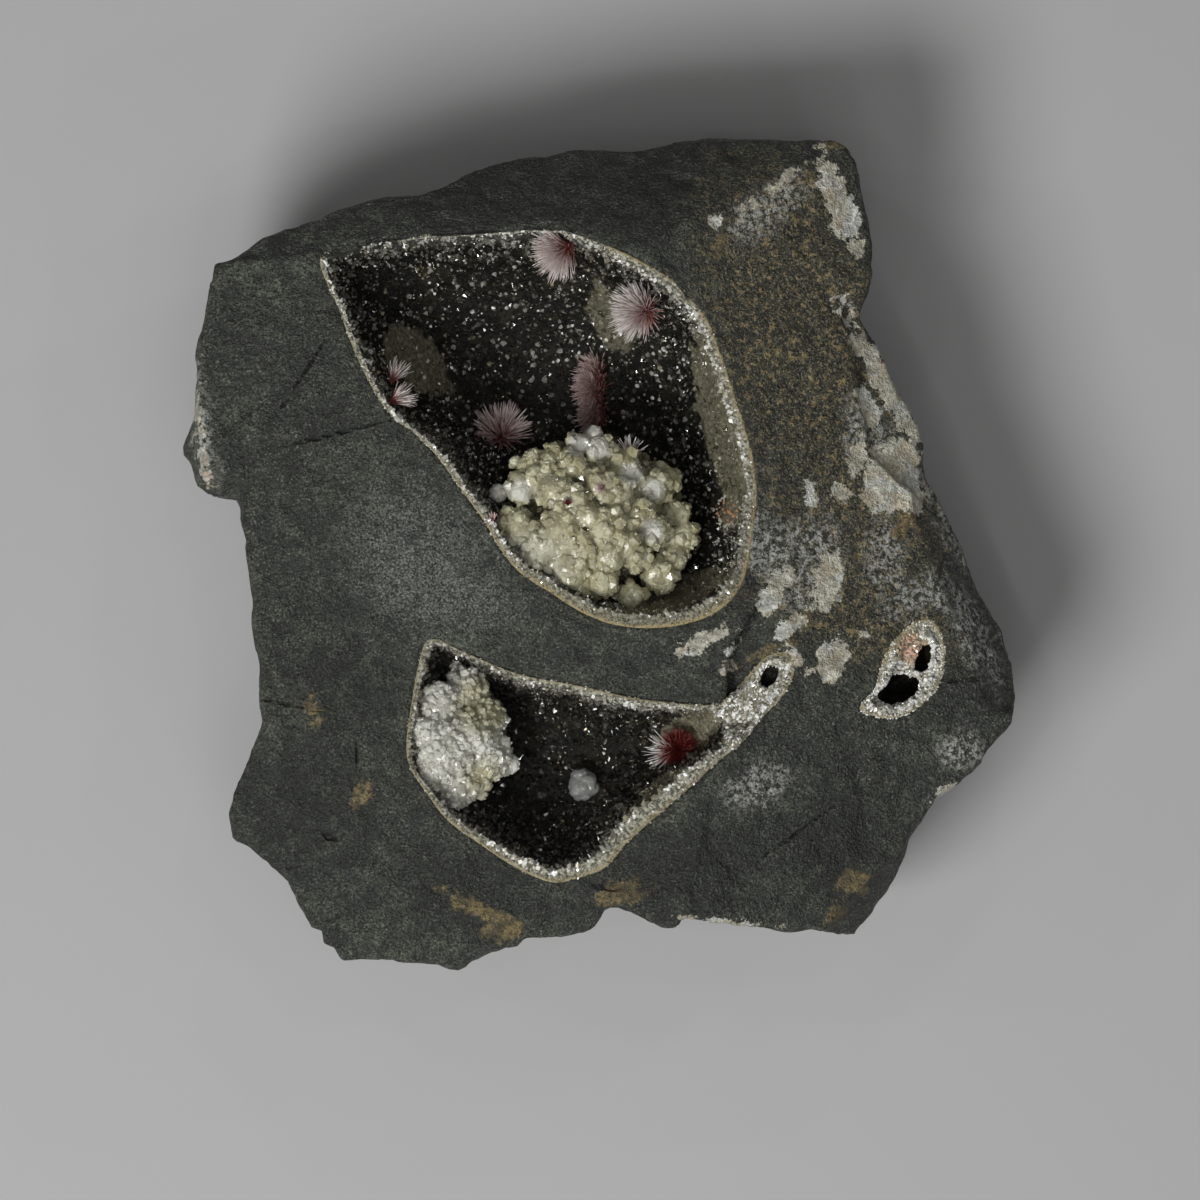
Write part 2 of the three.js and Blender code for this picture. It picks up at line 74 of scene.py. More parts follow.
# A material's node tree, built from sockets, nodes, numbers and colors alike.
class Tree:
    def __init__(self, name):
        self.material = bpy.data.materials.new(name)
        self.material.use_nodes = True
        self.tree = self.material.node_tree
        self.tree.nodes.clear()

    def add(self, kind, inputs=None, **settings):
        node = self.tree.nodes.new(kind)
        for key, value in settings.items():
            setattr(node, key, value)
        for key, value in (inputs or {}).items():
            self.feed(node.inputs[key], value)
        return node

    def feed(self, socket, value):
        if isinstance(value, bpy.types.NodeSocket):
            self.tree.links.new(value, socket)
        elif isinstance(value, bpy.types.Node):
            self.tree.links.new(value.outputs[0], socket)
        elif isinstance(value, tuple) and len(value) == 3 and socket.type == "RGBA":
            socket.default_value = (*value, 1.0)
        else:
            socket.default_value = value

    def math(self, operation, a, b):
        return self.add("ShaderNodeMath", {0: a, 1: b}, operation=operation)

    def plus(self, a, b):
        return self.math("ADD", a, b)

    def times(self, a, b):
        return self.math("MULTIPLY", a, b)

    def around(self, value, spread):
        # A noise's swing to both sides of its middle.
        return self.times(self.math("SUBTRACT", value, 0.5), spread)

    def mixed(self, kind, share, a, b):
        node = self.add("ShaderNodeMix", data_type=kind)
        for socket, value in (("Factor", share), ("A", a), ("B", b)):
            self.feed(node.inputs[socket], value)
        return node.outputs["Result"]

    def mix(self, share, a, b):
        return self.mixed("RGBA", share, a, b)

    def blend(self, share, a, b):
        return self.mixed("FLOAT", share, a, b)

    def layered(self, color, look, *layers):
        # Tones laid over a color one after the other: name, share and, if there is one, strength.
        for key, share, *strength in layers:
            color = self.mix(self.times(share, *strength) if strength else share, color, look[key])
        return color

    def over(self, color, tone, share, strength):
        return self.mix(self.times(share, strength), color, tone)

    def ramp(self, value, low, high, toLow=0.0, toHigh=1.0, smooth=True):
        return self.add(
            "ShaderNodeMapRange",
            {"Value": value, "From Min": low, "From Max": high, "To Min": toLow, "To Max": toHigh},
            interpolation_type="SMOOTHSTEP" if smooth else "LINEAR",
        ).outputs["Result"]

    def place(self):
        # Object coordinates in millimetres.
        coordinates = self.add("ShaderNodeTexCoord").outputs["Object"]
        perMetre = (1000.0, 1000.0, 1000.0)
        return self.add("ShaderNodeVectorMath", {0: coordinates, 1: perMetre}, operation="MULTIPLY").outputs[0]

    def noise(self, place, size, detail=3.0, roughness=0.55, offset=None):
        if offset:
            place = self.add("ShaderNodeVectorMath", {0: place, 1: offset}, operation="ADD").outputs[0]
        return self.add(
            "ShaderNodeTexNoise",
            {"Vector": place, "Scale": 1.0 / size, "Detail": detail, "Roughness": roughness},
        ).outputs["Fac"]

    def value(self, name):
        return self.add("ShaderNodeAttribute", attribute_name=name).outputs["Fac"]

    def bump(self, height, distance, strength=1.0):
        inputs = {"Height": height, "Distance": distance * mm, "Strength": strength}
        return self.add("ShaderNodeBump", inputs).outputs["Normal"]

    def finish(self, inputs):
        shader = self.add("ShaderNodeBsdfPrincipled", inputs)
        output = self.add("ShaderNodeOutputMaterial")
        self.tree.links.new(shader.outputs["BSDF"], output.inputs["Surface"])
        return self.material


def makeObject(name, points, faces, values=None, smooth=False):
    # One mesh object from arrays in millimetres, with its values per point for the material.
    mesh = bpy.data.meshes.new(name)
    mesh.from_pydata((points * mm).tolist(), [], faces.tolist())
    for key, numbers in (values or {}).items():
        mesh.attributes.new(key, "FLOAT", "POINT").data.foreach_set("value", numbers.astype(np.float32))
    mesh.polygons.foreach_set("use_smooth", [smooth] * len(mesh.polygons))
    mesh.update()
    return newObject(name, mesh)


def dress(made, material, slot, *nodes):
    made.data.materials.clear()
    made.data.materials.append(material)
    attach(made, "root")
    if nodes:
        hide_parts(*nodes)


def arraysOf(mesh):
    points = np.zeros(len(mesh.vertices) * 3, np.float32)
    mesh.vertices.foreach_get("co", points)
    mesh.calc_loop_triangles()
    triangles = np.zeros(len(mesh.loop_triangles) * 3, np.int32)
    mesh.loop_triangles.foreach_get("vertices", triangles)
    return points.reshape(-1, 3).astype(float) / mm, triangles.reshape(-1, 3)


def remeshed(source, voxel, name):
    # A copy with even faces; the source object is only a helper and is removed.
    modifier = source.modifiers.new("even", "REMESH")
    modifier.mode = "VOXEL"
    modifier.voxel_size = voxel * mm
    graph = bpy.context.evaluated_depsgraph_get()
    mesh = bpy.data.meshes.new_from_object(source.evaluated_get(graph))
    mesh.name = name
    bpy.data.objects.remove(source)
    return mesh


def noiseAt(points, size, seed=0.0):
    scale = 1.0 / size
    return np.array([noise.noise(Vector((x * scale + seed, y * scale, z * scale))) for x, y, z in points])


def smoothStep(x, low, high):
    t = np.clip((x - low) / (high - low), 0, 1)
    return t * t * (3 - 2 * t)


def unit(v):
    return v / np.maximum(np.linalg.norm(v, axis=-1, keepdims=True), 1e-9)


def sampled(points, triangles, count, random):
    # Random places spread over triangles, with the normal of each.
    a, b, c = (points[triangles[:, k]] for k in range(3))
    cross = np.cross(b - a, c - a)
    area = np.linalg.norm(cross, axis=1)
    chosen = random.choice(len(triangles), count, p=area / area.sum())
    u, v = random.random(count), random.random(count)
    flip = u + v > 1
    u, v = np.where(flip, 1 - u, u), np.where(flip, 1 - v, v)
    place = a[chosen] + u[:, None] * (b - a)[chosen] + v[:, None] * (c - a)[chosen]
    return place, unit(cross[chosen]), chosen


def copies(template, faces, places, axes, sizes, random):
    # Many turned and scaled copies of one small shape that points along Z. Sizes are across, across, along.
    count = len(places)
    z = unit(axes)
    x = unit(np.cross(z, random.normal(size=(count, 3))))
    y = np.cross(z, x)
    local = template[None, :, :] * sizes[:, None, :]
    points = places[:, None, :] + local[..., :1] * x[:, None, :]
    points = points + local[..., 1:2] * y[:, None, :] + local[..., 2:] * z[:, None, :]
    shift = (np.arange(count) * len(template))[:, None, None]
    return points.reshape(-1, 3), (faces[None, :, :] + shift).reshape(-1, 3)


def joined(parts):
    # Several shapes, each of points, faces and values, as one.
    points, faces, values = [], [], {}
    shift = 0
    for p, f, v in parts:
        points.append(p)
        faces.append(f + shift)
        shift += len(p)
        for key, numbers in v.items():
            values.setdefault(key, []).append(numbers)
    return np.vstack(points), np.vstack(faces), {k: np.concatenate(v) for k, v in values.items()}


def shapeOf(shape):
    # A finished bmesh as points and triangles.
    bmesh.ops.triangulate(shape, faces=shape.faces[:])
    bmesh.ops.recalc_face_normals(shape, faces=shape.faces[:])
    shape.verts.index_update()
    points = np.array([v.co[:] for v in shape.verts])
    faces = np.array([[v.index for v in f.verts] for f in shape.faces])
    shape.free()
    return points, faces


def quartzPoint():
    # The six-sided tip of a crystal, with a zigzag foot.
    shape = bmesh.new()
    bmesh.ops.create_cone(shape, cap_ends=True, segments=6, radius1=0.5, radius2=0.0, depth=1.0)
    bmesh.ops.remove_doubles(shape, verts=shape.verts, dist=1e-4)
    bmesh.ops.translate(shape, verts=shape.verts, vec=(0, 0, 0.5))
    raised = [v for v in shape.verts if v.co.z < 0.1 and math.cos(3 * math.atan2(v.co.y, v.co.x)) < 0]
    bmesh.ops.translate(shape, verts=raised, vec=(0, 0, 0.3))
    return shapeOf(shape)


def blockyCrystal():
    # A rhomb standing on its corner.
    shape = bmesh.new()
    bmesh.ops.create_cube(shape, size=1.0)
    stand = Vector((1, 1, 1)).rotation_difference(Vector((0, 0, 1))).to_matrix()
    bmesh.ops.rotate(shape, verts=shape.verts, cent=(0, 0, 0), matrix=stand)
    bmesh.ops.scale(shape, verts=shape.verts, vec=(0.98, 0.98, 1.12))
    return shapeOf(shape)


def needle():
    # A three-sided needle that tapers and ends in a point.
    shape = bmesh.new()
    bmesh.ops.create_cone(shape, cap_ends=True, segments=3, radius1=1.0, radius2=0.6, depth=0.92)
    bmesh.ops.translate(shape, verts=shape.verts, vec=(0, 0, 0.46))
    top = max(shape.faces, key=lambda f: f.calc_center_median().z)
    bmesh.ops.poke(shape, faces=[top])["verts"][0].co.z = 1.0
    return shapeOf(shape)


def icoBall(detail):
    shape = bmesh.new()
    bmesh.ops.create_icosphere(shape, subdivisions=detail, radius=1.0)
    return shapeOf(shape)


# The marks on the face, each an ellipse: x, y, half length, half width, turn in degrees.
marks = {
    "pale": [
        (38.6, 56.2, 8.4, 2.5, -69), (46.4, 26.8, 13.5, 1.9, -60), (43.6, 23, 4.2, 1.8, -70),
        (47.0, 12.6, 6.2, 4.4, 60), (49.4, 8.9, 3.2, 2.2, -20), (39.1, 9.6, 2.2, 1.4, 20),
        (34, 9.5, 1.9, 1.2, 80), (41.7, 15, 4, 1.3, 80), (37.2, -17.5, 3.9, 2.4, 75),
        (27.9, -6.6, 4.4, 1.5, 61), (31.2, -17.2, 2.8, 1, -40), (30.2, -12.2, 2.6, 1.3, 30),
        (36.4, -5, 4.8, 2.4, 70), (17.4, -13.9, 4.6, 1.2, 25), (21, -17, 2.2, 0.8, 70),
        (-63.8, 17, 7, 0.7, -80), (55.3, -39, 2.3, 1.1, 40), (19.4, -59.5, 6.2, 0.8, -5),
        (19, 53.4, 1.5, 0.7, 35), (28.2, 58.6, 4.6, 0.8, 38), (41.4, -13.2, 0.9, 0.5, 0),
    ],
    "speckle": [
        (33, -1.6, 7.6, 6, 75), (45.8, -0.5, 6, 3.4, 80), (51.2, -7.2, 5.4, 3, 20), (26, 1, 4, 6, 30),
        (27, 55, 8, 3, 40), (60, -13, 9, 2.6, -65), (44, 17, 8, 4, -70), (58, -32, 4, 3, 0),
        (25, -38, 5, 3, 20), (61.5, -4, 17, 1.0, -65), (56, 6, 12, 2, -62), (-64, 22, 9, 1.5, -80),
    ],
    "tan": [
        (-45.8, -25.7, 2.5, 1.2, 110), (-38.3, -39, 2.2, 1.5, 60), (-19.5, -57.4, 7, 1.6, -28),
        (-15.2, -60.4, 3.6, 2, 10), (3.3, -54.6, 4.4, 2, 10), (40.6, -52.9, 2.7, 2.4, 0),
        (38.2, -57.7, 2.6, 1.2, 60), (48.9, 4.4, 2.6, 1.8, 70), (33.7, 60.1, 1.6, 1, 30),
        (19, 48.4, 2.4, 1.2, 70), (33, -11, 3, 1, 40), (-50, -57, 2, 1, 60), (26.5, -16.2, 4.8, 0.8, 20),
        (39, 65.6, 3, 0.8, 0),
    ],
    "brown": [(33, 34, 25, 12, -72), (41, 8, 15, 11, -60), (42, -10, 14, 6, -20), (30, 54, 9, 6, 20)],
    # Painted sheen: a lighter patch where the face shows a sheen, with brighter flecks in it as painted glints.
    "paintedSheen": [(-28, -1.5, 15, 12, -50), (-22, -6, 12, 6, -30)],
    # Painted shade: darker patches on the top bevel and along the lower part of the face.
    "dim": [
        (14, -51, 18, 8, 12), (-48, -42, 14, 12, 0), (-20, -54, 16, 7, -10), (38, -48, 14, 8, 30),
        (0, 62, 50, 9, 0), (-40, -22, 10, 8, 0),
    ],
    "crack": [
        (-42.6, 18.8, 8.4, 0.3, 14), (-47.3, 28.6, 6.3, 0.25, 57), (-38.7, -33.9, 2.5, 0.3, 95),
        (-43.4, -45.6, 1.3, 0.5, -20), (1.5, -53.8, 3.3, 0.5, -8), (-52, -24, 6, 0.2, -12),
        (32.5, -44.5, 5, 0.2, 35),
    ],
    "spot": [
        (-35.4, -23.8, 1.4, 1.3, 0), (-32.2, -23.8, 1.2, 1, 0), (-38.3, -8.6, 1.8, 1.5, 0),
        (-6.6, -16.2, 1.6, 0.9, 10), (-30, 2, 1.3, 1.1, 0), (-48, -2, 1.6, 1.2, 30),
        (17, -57, 1.2, 0.9, 0), (-40, 45, 1.4, 1, 0), (-52, -36, 1.1, 1.4, 0), (56, -36, 1, 0.7, 0),
        (-29.2, -43, 1.6, 1.4, 0),
    ],
}
# The value far from every mark, and the widest fade inside one.
farOutside, widestFade = -9.0, 4.0


def markValue(points, shapes):
    # Above zero inside any of the shapes, about the distance in from its border.
    best = np.full(len(points), farOutside)
    for x, y, length, width, turn in shapes:
        c, s = math.cos(math.radians(turn)), math.sin(math.radians(turn))
        dx, dy = points[:, 0] - x, points[:, 1] - y
        away = np.hypot((dx * c + dy * s) / length, (dy * c - dx * s) / width)
        best = np.maximum(best, (1 - away) * min(width, widestFade))
    return best


# The pockets: the rim's corners, the bowl below it, the crystals on its wall, and the broken band round
# the rim, as turn in degrees, width, whiteness and warmth. Sparks, the painted glints, are the share of
# crystals made white to stand for glints, gloom how milky the others are, and big names single ones by x, y,
# size and 1 for an orange patch.
pockets = {
    "upper": {
        "rim": [
            (-44.7, 47.4), (-37.5, 50.2), (-27.1, 51.3), (-15.9, 52.1), (-9.5, 52.7), (-3.9, 51.6),
            (1.7, 48.6), (8.1, 45.4), (12.9, 42.2), (16.9, 37.4), (19.3, 31.4), (21.7, 24.2), (23.8, 17.8),
            (25, 9.8), (24.1, 1.8), (23, -3.8), (20.6, -7.8), (16.1, -10.6), (9.7, -11.9), (3.3, -11.6),
            (-2.3, -9.7), (-7.9, -6.2), (-12.7, -3), (-15.9, 1), (-18.2, 5), (-21.5, 9.5), (-25.5, 15),
            (-29, 18.6), (-32.7, 21.4), (-35.9, 25.8), (-39.1, 32.2), (-41.5, 38.6),
        ],
        "centre": (3, 17), "mouth": 54, "depth": 31, "belly": 1.7, "lining": 1.7,
        "crystals": 9500, "size": 0.62, "paintedGlints": 0.05, "gloom": 0.24,
        "band": [
            (0, 1.6, 0.8, 0.8), (30, 1.6, 0.85, 0.8), (55, 1.6, 0.8, 0.85), (75, 1.5, 0.85, 0.7),
            (100, 1.3, 0.9, 0.6), (130, 0.9, 0.65, 0.5), (150, 0.9, 0.7, 0.3), (180, 0.8, 0.7, 0.3),
            (215, 0.9, 0.6, 0.6), (240, 1.4, 0.4, 0.9), (270, 2.0, 0.35, 1), (300, 2.0, 0.4, 1),
            (330, 1.8, 0.55, 0.8),
        ],
        "big": [
            (-43.0, 44.8, 1.3, 0), (-37.0, 32.2, 1.2, 0), (-32.4, 20.9, 1.5, 0),
            (10.5, 32.9, 1.0, 0), (16.0, 35.4, 1.1, 0), (20.6, 6.4, 1.8, 1),
            (-34, 29.5, 0.9, 0), (1.5, 40.5, 0.8, 0), (-14, 46, 0.8, 0),
        ],
    },
    "lower": {
        "rim": [
            (-26.8, -14.2), (-20.7, -16.7), (-12.7, -19.9), (-3.1, -21.8), (6.5, -23.8), (16.1, -24.7),
            (19.6, -24.7), (23.3, -29.4), (18.5, -33.7), (14.5, -37.4), (8.9, -42.2), (4.1, -46.5),
            (0.9, -50.2), (-3.9, -52.1), (-7.9, -52.6), (-13.5, -50.2), (-19.1, -46.5), (-23.9, -43),
            (-27.1, -39), (-30, -34.6), (-30.6, -30.5), (-29.7, -23.8), (-28.7, -18.2),
        ],
        "centre": (-7, -34), "mouth": 54, "depth": 22, "belly": 2, "lining": 2.2,
        "crystals": 5200, "size": 0.72, "paintedGlints": 0.012, "gloom": 0.05,
        "band": [
            (8, 2.8, 0.6, 0.1), (20, 1.5, 0.65, 0.2), (40, 1.5, 0.7, 0.2), (60, 1.3, 0.65, 0.2),
            (90, 0.9, 0.6, 0.3), (120, 0.9, 0.6, 0.3), (140, 0.9, 0.5, 0.3), (170, 0.5, 0.4, 0.6),
            (190, 0.6, 0.45, 0.6), (220, 1.1, 0.6, 0.5), (250, 1.5, 0.65, 0.4), (270, 1.8, 0.65, 0.4),
            (300, 2.2, 0.6, 0.4), (330, 2.9, 0.6, 0.2), (350, 3.1, 0.6, 0.1),
        ],
    },
    "lobe": {
        "rim": [
            (18.2, -26.6), (23.3, -20.9), (27, -16.9), (29.7, -16.6), (31, -18.6), (29.7, -22.2),
            (26, -26.3), (21.5, -31),
        ],
        "centre": (26.2, -21.4), "mouth": 52.5, "depth": 8, "belly": 2, "lining": 2.1,
        "crystals": 1500, "size": 0.6, "paintedGlints": 0.1, "gloom": 1,
        "band": [(0, 1.2, 0.75, 0.4), (90, 1.1, 0.6, 0.9), (180, 1.1, 0.6, 0.7), (270, 1.2, 0.75, 0.2)],
    },
    "side": {
        "rim": [
            (42, -25), (44.6, -21.8), (45.8, -17.7), (48.1, -13.8), (51.3, -11.3), (53.5, -11.3),
            (55.1, -14.2), (55.3, -17.7), (54.2, -21.5), (51.6, -24.4), (48.1, -26.3), (44.9, -26.3),
        ],
        "centre": (50, -19.5), "mouth": 46, "depth": 10, "belly": 2, "lining": 2.3,
        "crystals": 2600, "size": 0.6, "paintedGlints": 0.1, "gloom": 1,
        "band": [
            (0, 1.8, 0.75, 0.2), (60, 1.8, 0.6, 0.8), (120, 1.8, 0.5, 0.8), (200, 1.4, 0.6, 0.4),
            (270, 1.6, 0.75, 0.4),
        ],
    },
}

# The three crusts and the pockets that each of them lines.
crusts = {"upper": ("upper",), "lower": ("lower", "lobe"), "side": ("side",)}


def cadShape(*nodes):
    # The CAD nodes' points and triangles in one list each, for measuring.
    points, faces = [], []
    for node in nodes:
        p, t = arraysOf(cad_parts[node].data)
        faces.append(t + sum(len(q) for q in points))
        points.append(p)
    return np.vstack(points), np.vstack(faces)


def treeOf(points, faces):
    return BVHTree.FromPolygons([Vector(p) for p in points], faces.tolist())


faceTree = treeOf(*cadShape("basalt_matrix", *(f"quartz_lining_{name}_pocket" for name in crusts)))
aboveAll = 90.0


def surfaceHeight(x, y):
    hit = faceTree.ray_cast(Vector((x, y, aboveAll)), Vector((0, 0, -1)))[0]
    return hit.z if hit else 0.0


def smoothRim(corners, count):
    # Even points on a closed curve through the corners, anticlockwise.
    p = np.array(corners, float)[::-1]
    n = len(p)
    fineRim = []
    for i in range(n):
        a, b, c, d = p[i - 1], p[i], p[(i + 1) % n], p[(i + 2) % n]
        for k in range(16):
            s = k / 16
            bend, twist = 2 * a - 5 * b + 4 * c - d, 3 * b - a - 3 * c + d
            fineRim.append(0.5 * (2 * b + (c - a) * s + bend * s * s + twist * s ** 3))
    fineRim = np.array(fineRim)
    step = np.linalg.norm(np.roll(fineRim, -1, 0) - fineRim, axis=1)
    along = np.concatenate([[0], np.cumsum(step)])
    wanted = np.linspace(0, along[-1], count, endpoint=False)
    looped = np.vstack([fineRim, fineRim[:1]])
    return np.column_stack([np.interp(wanted, along, looped[:, k]) for k in range(2)])


def rimOf(pocket):
    # Turns, reaches and face heights around a pocket, sorted by turn.
    centre = np.array(pocket["centre"], float)
    rim = smoothRim(pocket["rim"], 360) - centre
    turns, reach = np.arctan2(rim[:, 1], rim[:, 0]), np.hypot(rim[:, 0], rim[:, 1])
    face = np.array([surfaceHeight(*(centre + way * (1 + 0.9 / r))) for way, r in zip(rim, reach)])
    order = np.argsort(turns)
    return turns[order], reach[order], face[order]


def depthInPockets(points):
    # How far below the broken face a point lies inside a pocket; below zero outside them.
    depth = np.full(len(points), -1.0)
    for pocket in pockets.values():
        turns, reach, face = rimOf(pocket)
        away = points[:, :2] - np.array(pocket["centre"])
        turn = np.arctan2(away[:, 1], away[:, 0])
        inside = np.hypot(away[:, 0], away[:, 1]) < np.interp(turn, turns, reach, period=math.tau) + 0.1
        below = np.interp(turn, turns, face, period=math.tau) - points[:, 2]
        depth = np.where(inside & (points[:, 2] > 12), np.maximum(below, 0), depth)
    return depth


# The rock: the CAD lump with a finer broken surface. Swell, chip and grit are heights of its relief.
rock = {
    "voxel": 1.16, "swell": 0.42, "swellSize": 9.0, "chip": 0.34, "chipSize": 3.4, "grit": 0.12,
    "gritSize": 1.5, "fineAbove": 35.0, "fineFacing": 0.3, "snapAbove": 34.0, "sidewaysLift": 0.9,
    "underRim": 0.4, "underBowl": 1.6, "marksAbove": 35.0, "weld": 2e-6,
}


def rockRelief(points):
    # How far the broken surface stands proud of the CAD face, in millimetres.
    swell = noiseAt(points, rock["swellSize"], 3.0)
    chip = noiseAt(points, rock["chipSize"], 11.0)
    grit = noiseAt(points, rock["gritSize"], 23.0)
    return rock["swell"] * swell + rock["chip"] * (chip - 0.9 * np.abs(chip)) + rock["grit"] * grit


rockPoints, rockFaces = cadShape("basalt_matrix")
rockTree = treeOf(rockPoints, rockFaces)
source = makeObject("rockSource", rockPoints, rockFaces)
welded = bmesh.new()
welded.from_mesh(source.data)
bmesh.ops.remove_doubles(welded, verts=welded.verts, dist=rock["weld"])
welded.to_mesh(source.data)
welded.free()
rockMesh = remeshed(source, rock["voxel"], "basalt_rock")

fine = bmesh.new()
fine.from_mesh(rockMesh)
fineAbove = rock["fineAbove"] * mm
front = [f for f in fine.faces if f.calc_center_median().z > fineAbove and f.normal.z > rock["fineFacing"]]
bmesh.ops.subdivide_edges(fine, edges=list({e for f in front for e in f.edges}), cuts=1, use_grid_fill=True)
bmesh.ops.triangulate(fine, faces=fine.faces[:])
for v in fine.verts:
    if v.co.z > rock["snapAbove"] * mm:
        near = rockTree.find_nearest(v.co / mm)[0]
        v.co = near * mm
fine.normal_update()
place = np.array([v.co[:] for v in fine.verts]) / mm
normal = np.array([v.normal[:] for v in fine.verts])
lift = rockRelief(place) * smoothStep(place[:, 2], 0.5, 6)
lift = lift * (1 + rock["sidewaysLift"] * smoothStep(1 - normal[:, 2], 0.5, 0.9))
inPocket = depthInPockets(place)
sunk = -rock["underRim"] - rock["underBowl"] * smoothStep(inPocket, 1.0, 5.0)
place = place + normal * np.where(inPocket >= 0, sunk, lift)[:, None]
for v, p in zip(fine.verts, place):
    v.co = p * mm
fine.to_mesh(rockMesh)
fine.free()
rockPiece = newObject("basalt_rock", rockMesh)
for key, shapes in marks.items():
    numbers = np.where(place[:, 2] > rock["marksAbove"], markValue(place, shapes), farOutside)
    rockMesh.attributes.new(key, "FLOAT", "POINT").data.foreach_set("value", numbers.astype(np.float32))
rockMesh.polygons.foreach_set("use_smooth", [True] * len(rockMesh.polygons))
print("rock", len(rockMesh.polygons))

# Among the rock's tones, sheen and shine are painted sheen and painted glints, and dim is painted shade.
basaltLook = {
    "base": (0.055, 0.060, 0.044), "light": (0.091, 0.099, 0.073), "dark": (0.020, 0.022, 0.018),
    "pit": (0.010, 0.011, 0.009), "fleck": (0.20, 0.205, 0.165), "paintedSheen": (0.118, 0.134, 0.114),
    "paintedSheenGlint": (0.27, 0.29, 0.25), "crack": (0.006, 0.007, 0.006), "dim": (0.006, 0.007, 0.005),
    "brown": (0.092, 0.082, 0.045), "rust": (0.27, 0.20, 0.09), "brownFleck": (0.28, 0.25, 0.17),
    "brownPit": (0.009, 0.008, 0.006), "blue": (0.74, 0.76, 0.72), "speckle": (0.13, 0.115, 0.085),
    "tan": (0.205, 0.155, 0.068), "tanBase": (0.06, 0.047, 0.026), "tanRust": (0.29, 0.23, 0.12),
    "tanPit": (0.05, 0.044, 0.026), "spot": (0.026, 0.032, 0.027), "pale": (0.76, 0.75, 0.62),
    "beige": (0.58, 0.50, 0.37), "paleGrain": (0.16, 0.15, 0.115), "palePit": (0.19, 0.18, 0.14),
    "bump": 0.75, "specular": 0.45,
}
t = Tree("basalt")
at = t.place()
broad = t.noise(at, 14.0, 4.0)
middle = t.noise(at, 2.6, 4.0, 0.65, (12.0, 3.0, 8.0))
grain = t.noise(at, 0.75, 3.0, 0.75)
fineGrain = t.noise(at, 0.36, 1.5, 0.7, (7.0, 3.0, 1.0))
ragged = t.noise(at, 2.6, 5.0, 0.74, (31.0, 5.0, 9.0))


def edged(mark, spread, low, high):
    # A mark's field with a ragged border.
    return t.ramp(t.plus(t.value(mark), t.around(ragged, spread)), low, high)


look = basaltLook
# The sheen tone and the bright flecks laid over it are painted sheen and painted glints.
paintedSheenAt = edged("paintedSheen", 9.0, -1.0, 3.5)
blotch = t.noise(at, 5.5, 5.0, 0.7, (5.0, 21.0, 2.0))
crackAt = t.ramp(t.plus(t.value("crack"), t.around(middle, 1.2)), -0.15, 0.2)
color = t.layered(
    t.mix(t.ramp(broad, 0.35, 0.66), look["base"], look["light"]), look,
    ("dark", t.ramp(blotch, 0.40, 0.56, 0.6, 0.0)),
    ("dark", t.ramp(middle, 0.4, 0.6, 0.65, 0.0)),
    ("dark", t.ramp(grain, 0.4, 0.58, 0.85, 0.0)),
    ("paintedSheen", paintedSheenAt, t.ramp(grain, 0.35, 0.6, 0.15, 0.75)),
    ("fleck", t.ramp(fineGrain, 0.56, 0.68), t.ramp(middle, 0.4, 0.62, 0.2, 0.75)),
    ("pit", t.ramp(fineGrain, 0.37, 0.47, 1.0, 0.0), 0.75),
    ("paintedSheenGlint", t.times(paintedSheenAt, t.ramp(fineGrain, 0.52, 0.62)), 0.5),
    ("crack", crackAt, 0.8),
    # Painted shade from the dim marks.
    ("dim", edged("dim", 5.0, -1.5, 3.0), 0.5),
)
rusty = t.ramp(t.noise(at, 1.3, 5.0, 0.7, (3.0, 41.0, 2.0)), 0.55, 0.61)
pitted = t.ramp(t.noise(at, 0.8, 3.0, 0.7, (14.0, 4.0, 22.0)), 0.38, 0.45, 1.0, 0.0)
brownTone = t.layered(
    t.mix(t.ramp(grain, 0.42, 0.58), look["dark"], look["brown"]), look,
    ("dark", t.ramp(middle, 0.38, 0.6, 0.7, 0.0)),
    ("rust", rusty, 0.85),
    ("brownFleck", t.ramp(fineGrain, 0.56, 0.64), 0.65),
    ("brownPit", pitted, 0.85),
)
color = t.over(color, brownTone, edged("brown", 9.0, -2.5, 1.5), 0.95)
speckled = t.ramp(t.noise(at, 0.9, 5.0, 0.78, (1.0, 2.0, 17.0)), 0.47, 0.56)
speckleTone = t.mix(middle, look["blue"], look["speckle"])
color = t.over(color, speckleTone, t.times(edged("speckle", 7.0, -1.4, 1.6), speckled), 0.7)
tanTone = t.layered(
    t.mix(t.ramp(grain, 0.38, 0.56), look["tanBase"], look["tan"]), look,
    ("tanRust", rusty, 0.4),
    ("tanPit", t.ramp(middle, 0.4, 0.56, 0.75, 0.0)),
)
color = t.over(color, tanTone, edged("tan", 6.5, -0.2, 0.5), 0.9)
color = t.over(color, look["spot"], edged("spot", 2.5, -0.2, 0.4), 0.65)
paleAt = edged("pale", 6.5, -0.05, 0.2)
beigeAt = t.ramp(t.noise(at, 3.4, 4.0, 0.65, (9.0, 9.0, 1.0)), 0.42, 0.6)
paleTone = t.layered(
    t.mix(beigeAt, look["pale"], look["beige"]), look,
    ("blue", t.ramp(t.noise(at, 4.2, 3.0, 0.6, (2.0, 30.0, 5.0)), 0.5, 0.62)),
    ("paleGrain", t.ramp(grain, 0.42, 0.6, 0.5, 0.0)),
    ("palePit", t.ramp(middle, 0.4, 0.6, 0.5, 0.0)),
)
color = t.over(color, paleTone, paleAt, 0.92)
height = t.plus(t.plus(t.times(grain, 0.8), t.times(fineGrain, 0.3)), t.times(middle, 0.9))
height = t.math("SUBTRACT", height, crackAt)
roughness = t.blend(paleAt, t.ramp(fineGrain, 0.3, 0.7, 0.75, 0.42), 0.35)
basalt = t.finish({
    "Base Color": color, "Roughness": roughness, "Specular IOR Level": look["specular"],
    "Normal": t.bump(height, look["bump"]),
})
